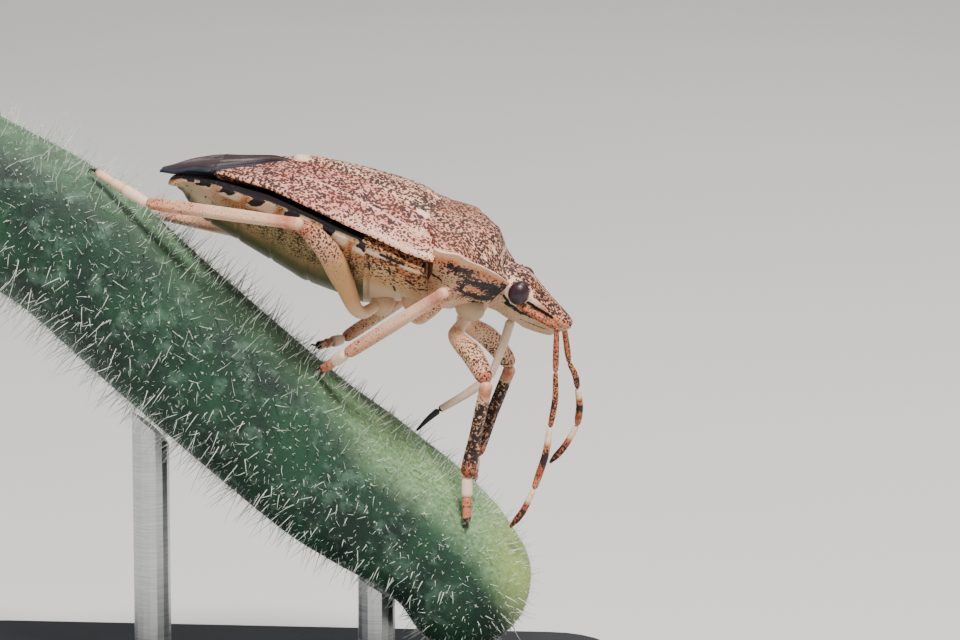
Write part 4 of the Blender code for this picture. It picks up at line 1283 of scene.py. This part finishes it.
for label, points in FEELERS.items():
    parts = []
    for i in range(5):
        a, b = points[i], points[i + 1]
        bow = 0.08 if i > 1 else 0.0
        mid = tuple((x + y) / 2 + (bow if k == 0 else 0.0) for k, (x, y) in enumerate(zip(a, b)))
        w = FEELER_WIDTH[i]
        width = through((0, w * 0.7), (0.15, w * 0.85), (0.75, w), (1.0, w * 0.75 if i < 4 else w * 0.35))
        start = a if i else lerp(a, b, -0.1)
        parts.append(tube_data((start, mid, b), width, feeler_masks(i), 16, 36))
    verts, faces, masks = join_data(parts)
    feeler = add_piece("bug_antenna_" + label, verts, faces, feeler_finish, masks)
    settle(feeler, "antenna", *["antenna_%s_%d" % (label, i + 1) for i in range(5)])
print("feeler faces:", len(feeler.data.polygons))

# %% [markdown]
# ## The beak
# The feeding beak is a jointed tube. It folds at an elbow and its black tip is in the stem.

# %% The beak
BEAK = ((3.62, 0, -2.2), (3.66, 0, -4.42), (2.41, 0, -6.14), (1.94, 0, -7.12))
beak_finish = shell_finish("rostrum", srgb(196, 168, 150), srgb(176, 144, 128), PIT_BROWN, PIT_DARK,
                           cell=0.11, cover=0.12, cloud=0.12, rough=0.4, relief=0.25)
parts = []
for i, mid in enumerate(((3.68, 0, -3.4), (3.06, 0, -5.3))):
    masks = {"pale": lambda v: 0.5, "warm": lambda v, i=i: (0.5 if i else 0.35) * smooth((v - 0.85) / 0.1),
             "ink": lambda v, i=i: 0.8 * smooth((v - 0.9) / 0.08) if i else 0.0}
    parts.append(tube_data((BEAK[i], mid, BEAK[i + 1]), through((0, 0.17), (0.5, 0.15), (1, 0.12)), masks, 18,
                           40))
verts, faces, masks = join_data(parts)
beak = add_piece("bug_beak", verts, faces, beak_finish, masks)
settle(beak, "rostrum", "rostrum_upper", "rostrum_middle")
tip_finish = shell_finish("rostrum_tip", srgb(26, 20, 20), srgb(40, 28, 24), PIT_DARK, PIT_DARK, cover=0.1,
                          rough=0.35, relief=0.2)
verts, faces, masks = tube_data((BEAK[2], (2.16, 0, -6.6), BEAK[3]),
                                through((0, 0.12), (0.5, 0.09), (1, 0.035)), {"ink": lambda v: 1.0}, 18, 30)
beak_tip = add_piece("bug_beak_tip", verts, faces, tip_finish, masks)
settle(beak_tip, "rostrum_tip", "rostrum_tip")
print("beak length, mm:", round(sum(math.dist(a, b) for a, b in zip(BEAK, BEAK[1:])), 2))

# %% [markdown]
# ## The stem
# The bug feeds on a thick green stem. Its section is a rounded square, it follows a smooth line
# through a few measured places, and its lower end is rounded. The skin is dark green below, its
# own green darkened further as painted shade, and greyer along the top as painted light from
# above. Toward the lower end the top carries a painted pool of sunlight, a mottled light green
# that turns yellow green at the far end as painted light, and a thin pale line parts it from the
# darker side. Small pale dots stand for the roots of bristles.

# %% The stem
STEM_WIDTH = 6.9
STEM_DEPTH = 5.4
STEM_TWIST = math.radians(14.0)
STEM_END_DEPTH = 0.82
STEM_CAP = 2.2
TOP_LINE = ((-16.2, 4.0), (-14.2, 3.0), (-11.6, 1.55), (-7.6, -1.93), (-3.55, -5.4), (-0.79, -7.66),
            (1.0, -9.12), (2.3, -10.5), (2.95, -11.5))
stem_finish, stem_shader, spot = new_finish("stem", 0.35)
upper = painted(spot, "pale")
cut = painted(spot, "warm")
lower_end = painted(spot, "dark")
broad = spot.noise(0.45, 3.0, 0.6)
patch = spot.noise(1.6, 4.0, 0.6)
fine = spot.noise(14.0, 3.0)
roots = spot.cells(2.6)
# The ground greens are the stem's own green darkened further, as painted shade on the side away from the
# light.
green = broad.rise(0.35, 0.68).blend(srgb(10, 35, 26), srgb(26, 63, 42))
green = (patch.rise(0.5, 0.72) * 0.5).blend(green, srgb(92, 122, 104))
# Greyer, lighter green on the upward side: painted light from above.
green = (upper * (0.2 + patch * 0.6)).blend(green, srgb(112, 142, 112))
# A painted pool of sunlight on the top toward the lower end, and painted yellow green light on its far end.
lit = spot.noise(7.0, 4.0, 0.7).rise(0.35, 0.65).blend(srgb(80, 124, 72), srgb(146, 172, 130))
green = (upper * lower_end * (0.45 + patch)).blend(green, lit)
green = (upper * painted(spot, "ink") * 0.8).blend(green, srgb(150, 168, 78))
green = ((0.5 - upper).maths("ABSOLUTE").rise(0.3, 0.0) * lower_end * fine).blend(green, srgb(176, 186, 146))
green = (fine.rise(0.5, 0.8) * 0.3).blend(green, srgb(24, 52, 34))
green = (roots.rise(0.13, 0.07) * 0.7).blend(green, srgb(196, 210, 178))
pith = (spot.cells(5.0) + fine * 0.3).rise(0.1, 0.6).blend(srgb(196, 206, 150), srgb(150, 176, 110))
green = cut.rise(0.4, 0.6).blend(green, pith)
feed(stem_finish, stem_shader, green, 0.62 + (fine - 0.5) * 0.2,
     patch + fine * 0.4 + roots.rise(0.2, 0.0) * 0.8, 0.6,
     0.00008)


def stem_sections(count):
    runs = [0.0]
    for a, b in zip(TOP_LINE, TOP_LINE[1:]):
        runs.append(runs[-1] + math.dist(a, b))
    x_at = through(*[(r, p[0]) for r, p in zip(runs, TOP_LINE)])
    z_at = through(*[(r, p[1]) for r, p in zip(runs, TOP_LINE)])
    sections = []
    for i in range(count + 1):
        d = runs[-1] * i / count
        x, z = x_at(d), z_at(d)
        dx = x_at(min(d + 0.2, runs[-1])) - x_at(max(d - 0.2, 0.0))
        dz = z_at(min(d + 0.2, runs[-1])) - z_at(max(d - 0.2, 0.0))
        along = Vector((dx, 0, dz)).normalized()
        up = Vector((-along.z, 0, along.x))
        turn = STEM_TWIST * (1 - smooth((x + 3.8) / 2.6))
        side = Vector((0, 1, 0))
        deep = mix(1.0, STEM_END_DEPTH, smooth((x + 3.5) / 6.5))
        centre = Vector((x, 0, z)) - up * (STEM_DEPTH / 2 * deep)
        sections.append((centre, side * math.cos(turn) - up * math.sin(turn), up * math.cos(turn)
                         + side * math.sin(turn), 1.0, deep))
    centre, side, up, _, deep = sections[-1]
    for i in range(1, 25):
        a = math.pi / 2 * i / 25
        k = math.cos(a)
        sections.append((centre + along * (STEM_CAP * math.sin(a)), side, up, k, k * deep))
    return sections


def stem_mesh(count, sides):
    sections = stem_sections(count)
    verts, faces, upward, cut_end, wrap = [], [], [], [], []
    for i, (centre, side, up, wide, deep) in enumerate(sections):
        for j in range(sides):
            a = 2 * math.pi * j / sides
            c, s = math.cos(a), math.sin(a)
            k = (abs(c) ** 2.5 + abs(s) ** 2.5) ** (-1 / 2.5)
            across = side * (STEM_WIDTH / 2 * k * c * wide)
            verts.append(tuple(centre + across + up * (STEM_DEPTH / 2 * k * s * deep)))
            upward.append(smooth((s - 0.35) / 0.6))
            cut_end.append(0.0)
            wrap.append((j / sides * 0.9 + 0.02, i / len(sections) * 0.9 + 0.02))
    for i in range(len(sections) - 1):
        for j in range(sides):
            n = (j + 1) % sides
            faces.append((i * sides + j, i * sides + n, (i + 1) * sides + n, (i + 1) * sides + j))
    centre = sections[0][0]
    first = list(range(sides))
    inner = []
    for k in (0.985, 0.9, 0.6, 0.3):
        start = len(verts)
        for j in range(sides):
            edge = Vector(verts[j])
            verts.append(tuple(centre + (edge - centre) * k))
            upward.append(0.0)
            cut_end.append(0.0 if k > 0.95 else 1.0)
            wrap.append((0.96, 0.96))
        ring_ids = list(range(start, start + sides))
        last = first if not inner else inner[-1]
        for j in range(sides):
            n = (j + 1) % sides
            faces.append((last[j], last[n], ring_ids[n], ring_ids[j]))
        inner.append(ring_ids)
    faces.append(tuple(inner[-1]))
    top = (len(sections) - 1) * sides
    faces.append(tuple(top + j for j in range(sides)))
    return verts, faces, upward, cut_end, wrap


verts, faces, upward, cut_end, wrap = stem_mesh(150, 96)
near_end = [smooth((v[0] + 5.5) / 5.0) for v in verts]
last_part = [smooth((v[0] - 1.2) / 2.6) for v in verts]
# The stem's masks: pale is the upward side, which takes the painted light on the top; dark is the lower end,
# where the painted pool of sunlight lies; ink is the far end, where that painted light turns yellow green;
# warm is the cut face.
stem = add_piece("stem", verts, faces, stem_finish, {"pale": upward, "warm": cut_end, "dark": near_end,
                                                     "ink": last_part}, on_level)
settle(stem, "stem", "perch_stem")
print("stem faces:", len(stem.data.polygons))

# %% [markdown]
# ## Bristles
# White bristles cover the stem: long ones that catch the light on its outline, and a short down
# between them. A Geometry Nodes tree scatters points over the skin with a fixed seed and stands
# one slim hair on each. The hairs are made real mesh at the end, and each keeps a small patch of
# the skin's own unwrap at its root.

# %% One hair and its tree
hair_finish, hair_shader, spot = new_finish("bristle", 0.5)
feed(hair_finish, hair_shader,
     spot.noise(1.2, 2.0).rise(0.3, 0.7).blend(srgb(206, 214, 204), srgb(232, 236, 230)),
     0.38 + spot.noise(3.0, 2.0) * 0.2)


def hair_template(name, bend, rings):
    """A unit hair along Z that leans over toward its tip, three-sided and tapered."""
    verts, faces = [], []
    for i in range(rings):
        v = i / rings
        r = 0.032 * (1 - v) ** 0.7 * (1.3 if i == 0 else 1.0)
        for j in range(3):
            a = 2 * math.pi * j / 3
            verts.append((bend * v * v + r * math.cos(a), r * math.sin(a), v - 0.04))
    verts.append((bend, 0.0, 0.96))
    for i in range(rings - 1):
        for j in range(3):
            n = (j + 1) % 3
            faces.append((i * 3 + j, i * 3 + n, (i + 1) * 3 + n, (i + 1) * 3 + j))
    a = (rings - 1) * 3
    faces += [(a + j, a + (j + 1) % 3, a + 3) for j in range(3)]
    faces.append((2, 1, 0))
    mesh = bpy.data.meshes.new(name)
    mesh.from_pydata(verts, [], faces)
    layer = mesh.attributes.new("patch", "FLOAT_VECTOR", "POINT")
    layer.data.foreach_set("vector", [c for v in verts for c in (v[0] + 0.5, v[2], 0.0)])
    mesh.shade_smooth()
    obj = bpy.data.objects.new(name, mesh)
    bpy.context.scene.collection.objects.link(obj)
    return obj


def bristle_tree():
    """Scatter hairs on a skin. Inputs: skin, hair, density, least and most length, lean and seed."""
    tree = bpy.data.node_groups.new("bristles", "GeometryNodeTree")
    face = tree.interface
    face.new_socket("Skin", in_out="INPUT", socket_type="NodeSocketGeometry")
    for name, kind, value in (("Hair", "NodeSocketObject", None), ("Density", "NodeSocketFloat", 1e6),
                              ("Least Length", "NodeSocketFloat", 0.0003),
                              ("Most Length", "NodeSocketFloat", 0.001),
                              ("Thickness", "NodeSocketFloat", 0.001), ("Lean", "NodeSocketFloat", 0.4),
                              ("Seed", "NodeSocketInt", 1), ("Finish", "NodeSocketMaterial", None)):
        socket = face.new_socket(name, in_out="INPUT", socket_type=kind)
        if value is not None:
            socket.default_value = value
    face.new_socket("Hairs", in_out="OUTPUT", socket_type="NodeSocketGeometry")
    nodes, links = tree.nodes, tree.links

    def make(kind, settings=None, **values):
        node = nodes.new(kind)
        for key, value in (settings or {}).items():
            setattr(node, key, value)
        for key, value in values.items():
            socket = node.inputs[int(key[1:])] if key[0] == "i" and key[1:].isdigit() else node.inputs[key]
            if isinstance(value, bpy.types.NodeSocket):
                links.new(value, socket)
            else:
                socket.default_value = value
        return node

    given = nodes.new("NodeGroupInput").outputs
    thick = make("GeometryNodeInputNamedAttribute", {"data_type": "FLOAT"}, Name="growth")
    dense = make("ShaderNodeMath", {"operation": "MULTIPLY"}, i0=given["Density"],
                 i1=thick.outputs["Attribute"])
    points = make("GeometryNodeDistributePointsOnFaces", {}, Mesh=given["Skin"], Density=dense.outputs[0],
                  Seed=given["Seed"])
    wrap_at = make("GeometryNodeInputNamedAttribute", {"data_type": "FLOAT_VECTOR"}, Name="wrap")
    rooted = make("GeometryNodeStoreNamedAttribute", {"data_type": "FLOAT_VECTOR", "domain": "POINT"},
                  Geometry=points.outputs["Points"], Name="root", Value=wrap_at.outputs["Attribute"])
    reach = make("GeometryNodeInputNamedAttribute", {"data_type": "FLOAT"}, Name="reach")
    length = make("FunctionNodeRandomValue", {"data_type": "FLOAT"})
    links.new(given["Least Length"], length.inputs[2])
    links.new(given["Most Length"], length.inputs[3])
    links.new(given["Seed"], length.inputs["Seed"])
    long = make("ShaderNodeMath", {"operation": "MULTIPLY"}, i0=length.outputs[1],
                i1=reach.outputs["Attribute"])
    size = make("ShaderNodeCombineXYZ", {}, X=given["Thickness"], Y=given["Thickness"], Z=long.outputs[0])
    sway = make("FunctionNodeRandomValue", {"data_type": "FLOAT_VECTOR"})
    sway.inputs[0].default_value = (-1, -1, -1)
    sway.inputs[1].default_value = (1, 1, 1)
    links.new(given["Seed"], sway.inputs["Seed"])
    swayed = make("ShaderNodeVectorMath", {"operation": "SCALE"}, i0=sway.outputs[0], Scale=given["Lean"])
    aim_at = make("ShaderNodeVectorMath", {"operation": "ADD"}, i0=points.outputs["Normal"],
                  i1=swayed.outputs[0])
    turn = make("FunctionNodeRandomValue", {"data_type": "FLOAT_VECTOR"})
    turn.inputs[0].default_value = (0, 0, 0)
    turn.inputs[1].default_value = (0, 0, 6.283)
    spin = make("FunctionNodeEulerToRotation", {}, Euler=turn.outputs[0])
    stand = make("FunctionNodeAlignRotationToVector", {"axis": "Z"}, Vector=aim_at.outputs[0])
    whole = make("FunctionNodeRotateRotation", {"rotation_space": "LOCAL"})
    links.new(stand.outputs[0], whole.inputs[0])
    links.new(spin.outputs[0], whole.inputs[1])
    hair = make("GeometryNodeObjectInfo", {"transform_space": "ORIGINAL"}, Object=given["Hair"])
    placed = make("GeometryNodeInstanceOnPoints", {}, Points=rooted.outputs["Geometry"],
                  Instance=hair.outputs["Geometry"], Rotation=whole.outputs[0], Scale=size.outputs[0])
    real = make("GeometryNodeRealizeInstances", {}, Geometry=placed.outputs["Instances"])
    root = make("GeometryNodeInputNamedAttribute", {"data_type": "FLOAT_VECTOR"}, Name="root")
    local = make("GeometryNodeInputNamedAttribute", {"data_type": "FLOAT_VECTOR"}, Name="patch")
    small = make("ShaderNodeVectorMath", {"operation": "SCALE"}, i0=local.outputs["Attribute"], Scale=0.003)
    where = make("ShaderNodeVectorMath", {"operation": "ADD"}, i0=root.outputs["Attribute"],
                 i1=small.outputs[0])
    baked = make("GeometryNodeStoreNamedAttribute", {"data_type": "FLOAT2", "domain": "CORNER"},
                 Geometry=real.outputs["Geometry"], Name="OFBake", Value=where.outputs[0])
    dressed = make("GeometryNodeSetMaterial", {}, Geometry=baked.outputs["Geometry"],
                   Material=given["Finish"])
    out = nodes.new("NodeGroupOutput")
    links.new(dressed.outputs["Geometry"], out.inputs[0])
    return tree


tree = bristle_tree()
print("nodes in the bristle tree:", len(tree.nodes))

# %% [markdown]
# ## Growing the bristles
# The bristles are longest over the upper part of the stem, shorter beside the cut face and round
# the lower end, and absent from the cut face itself. Those are two numbers on each point of a
# plain copy of the skin.

# %% Growing the coat


def coat(name, skin_data, place, hair, growth, reach, slot, **inputs):
    """Grow hairs over a skin and return them as one plain mesh object."""
    verts, faces, wrap = skin_data
    base = add_piece(name + "_skin", verts, faces, hair_finish, {"growth": growth, "reach": reach}, place)
    layer = base.data.attributes.new("wrap", "FLOAT_VECTOR", "POINT")
    layer.data.foreach_set("vector", [c for w in wrap for c in (w[0], w[1], 0.0)])
    mod = base.modifiers.new("bristles", "NODES")
    mod.node_group = tree
    values = dict(inputs, Hair=hair, Finish=hair_finish)
    for item in tree.interface.items_tree:
        if item.in_out == "INPUT" and item.name.replace(" ", "_") in values:
            mod[item.identifier] = values[item.name.replace(" ", "_")]
    deps = bpy.context.evaluated_depsgraph_get()
    mesh = bpy.data.meshes.new_from_object(base.evaluated_get(deps))
    mesh.name = name
    for attribute in ("root", "patch", "growth", "reach", "wrap"):
        if attribute in mesh.attributes:
            mesh.attributes.remove(mesh.attributes[attribute])
    old = base.data
    bpy.data.objects.remove(base)
    bpy.data.meshes.remove(old)
    piece = bpy.data.objects.new(name, mesh)
    bpy.context.scene.collection.objects.link(piece)
    settle(piece, slot)
    return piece


COAT_ROWS, COAT_SIDES = 60, 48
verts, faces, upward, cut_end, wrap = stem_mesh(COAT_ROWS, COAT_SIDES)
growth, reach = [], []
for (x, y, z), c in zip(verts, cut_end):
    growth.append(0.0 if c > 0.5 else 1.0)
    near_cut = mix(0.66, 1.0, smooth((x - TOP_LINE[0][0]) / 2.5))
    reach.append(mix(1.1, 0.6, smooth((x + 9.0) / 9.0)) * near_cut)
for i in range(len(stem_sections(COAT_ROWS)) * COAT_SIDES, len(verts)):
    growth[i] = 0.0
long_hair = hair_template("hair_long", 0.16, 6)
short_hair = hair_template("hair_short", 0.3, 4)
bristles = coat("stem_bristles", (verts, faces, wrap), on_level, long_hair, growth, reach, "stem",
                Density=4.2e6, Least_Length=0.0004, Most_Length=0.0013, Thickness=0.00055, Lean=0.4, Seed=7)
down = coat("stem_down", (verts, faces, wrap), on_level, short_hair, growth, reach, "stem", Density=1.4e7,
            Least_Length=0.00012, Most_Length=0.0003, Thickness=0.0003, Lean=0.5, Seed=11)
print("triangles of bristles and down:",
      [sum(len(p.vertices) - 2 for p in o.data.polygons) for o in (bristles, down)])

# %% [markdown]
# ## The leaf stalk
# A short maroon stalk, with bristles of its own, stands below the rounded end of the stem.

# %% The stalk
stalk_finish, stalk_shader, spot = new_finish("stalk", 0.4)
streak = spot.node("ShaderNodeVectorMath", {"operation": "MULTIPLY"},
                   {0: spot, 1: (6.0, 6.0, 0.8)}).noise(1.0, 3.0)
grain = spot.noise(12.0, 2.0)
feed(stalk_finish, stalk_shader, streak.rise(0.3, 0.7).blend(srgb(96, 26, 40), srgb(134, 62, 70)),
     0.5 + grain * 0.15, streak + grain * 0.3, 0.5, 0.00006)
stalk_top, stalk_foot = (1.9, -0.5, -14.9), (2.4, -0.7, -16.2)
verts, faces, masks = tube_data((stalk_top, lerp(stalk_top, stalk_foot, 0.5), stalk_foot),
                                through((0, 0.72), (0.5, 0.68), (1, 0.65)), None, 40, 24)
stalk = add_piece("stalk", verts, faces, stalk_finish, None, on_level)
settle(stalk, "stalk", "perch_stalk")
wrap = [(0.02 + 0.9 * (i % 40) / 40, 0.02 + 0.9 * (i // 40) / 25) for i in range(len(verts))]
coat("stalk_bristles", (verts, faces, wrap), on_level, long_hair, [1.0] * len(verts), [0.8] * len(verts),
     "stalk",
     Density=6e6, Least_Length=0.0003, Most_Length=0.0008, Thickness=0.0004, Lean=0.3, Seed=5)
for hair in (long_hair, short_hair):
    mesh = hair.data
    bpy.data.objects.remove(hair)
    bpy.data.meshes.remove(mesh)
print("stalk faces:", len(stalk.data.polygons))

# %% [markdown]
# ## The stand
# The base is a painted metal plate with a fine satin texture, and the rods are brushed steel.
# Their solids are already right, so only their finishes are made here.

# %% The stand
base_finish, base_shader, spot = new_finish("stand_paint", 0.5)
speck = spot.noise(9.0, 3.0, 0.6)
broad = spot.noise(0.25, 2.0)
feed(base_finish, base_shader, broad.rise(0.3, 0.7).blend(srgb(44, 45, 48), srgb(52, 53, 56)),
     0.45 + speck * 0.2, speck, 0.25, 0.00002)
rod_finish, rod_shader, spot = new_finish("rod_steel", 0.5, metal=1.0)
brush = spot.node("ShaderNodeVectorMath", {"operation": "MULTIPLY"},
                  {0: spot, 1: (1.2, 1.2, 26.0)}).noise(1.0, 3.0)
feed(rod_finish, rod_shader, brush.rise(0.2, 0.8).blend(srgb(170, 172, 176), srgb(206, 208, 210)),
     0.22 + brush * 0.2, brush, 0.2, 0.00001)
for node, finish in (("stand_base", base_finish), ("stand_rod_rear", rod_finish),
                     ("stand_rod_front", rod_finish)):
    for part in bpy.data.objects:
        if part.type == "MESH" and (part.name == node or part.name.startswith(node + "_")):
            for k in range(max(len(part.data.materials), 1)):
                if part.data.materials:
                    part.data.materials[k] = finish
                else:
                    part.data.materials.append(finish)
print("stand finished")

# %% [markdown]
# ## The floor
# A plain pale sheet under the stand.

# %% The floor
floor_finish, floor_shader, spot = new_finish("floor", 0.3)
tone = spot.noise(0.012, 2.0)
feed(floor_finish, floor_shader, tone.rise(0.3, 0.7).blend(srgb(214, 214, 210), srgb(220, 220, 217)),
     0.7 + tone * 0.1)
mesh = bpy.data.meshes.new("floor")
mesh.from_pydata([(-3, -3, 0), (3, -3, 0), (3, 3, 0), (-3, 3, 0)], [], [(0, 1, 2, 3)])
mesh.materials.append(floor_finish)
floor = bpy.data.objects.new("floor", mesh)
bpy.context.scene.collection.objects.link(floor)
print("floor laid")

# %% [markdown]
# ## The end
# The dressed model has to stay as large as the solids; the view layer is updated a last time.

# %% The end
bpy.context.view_layer.update()
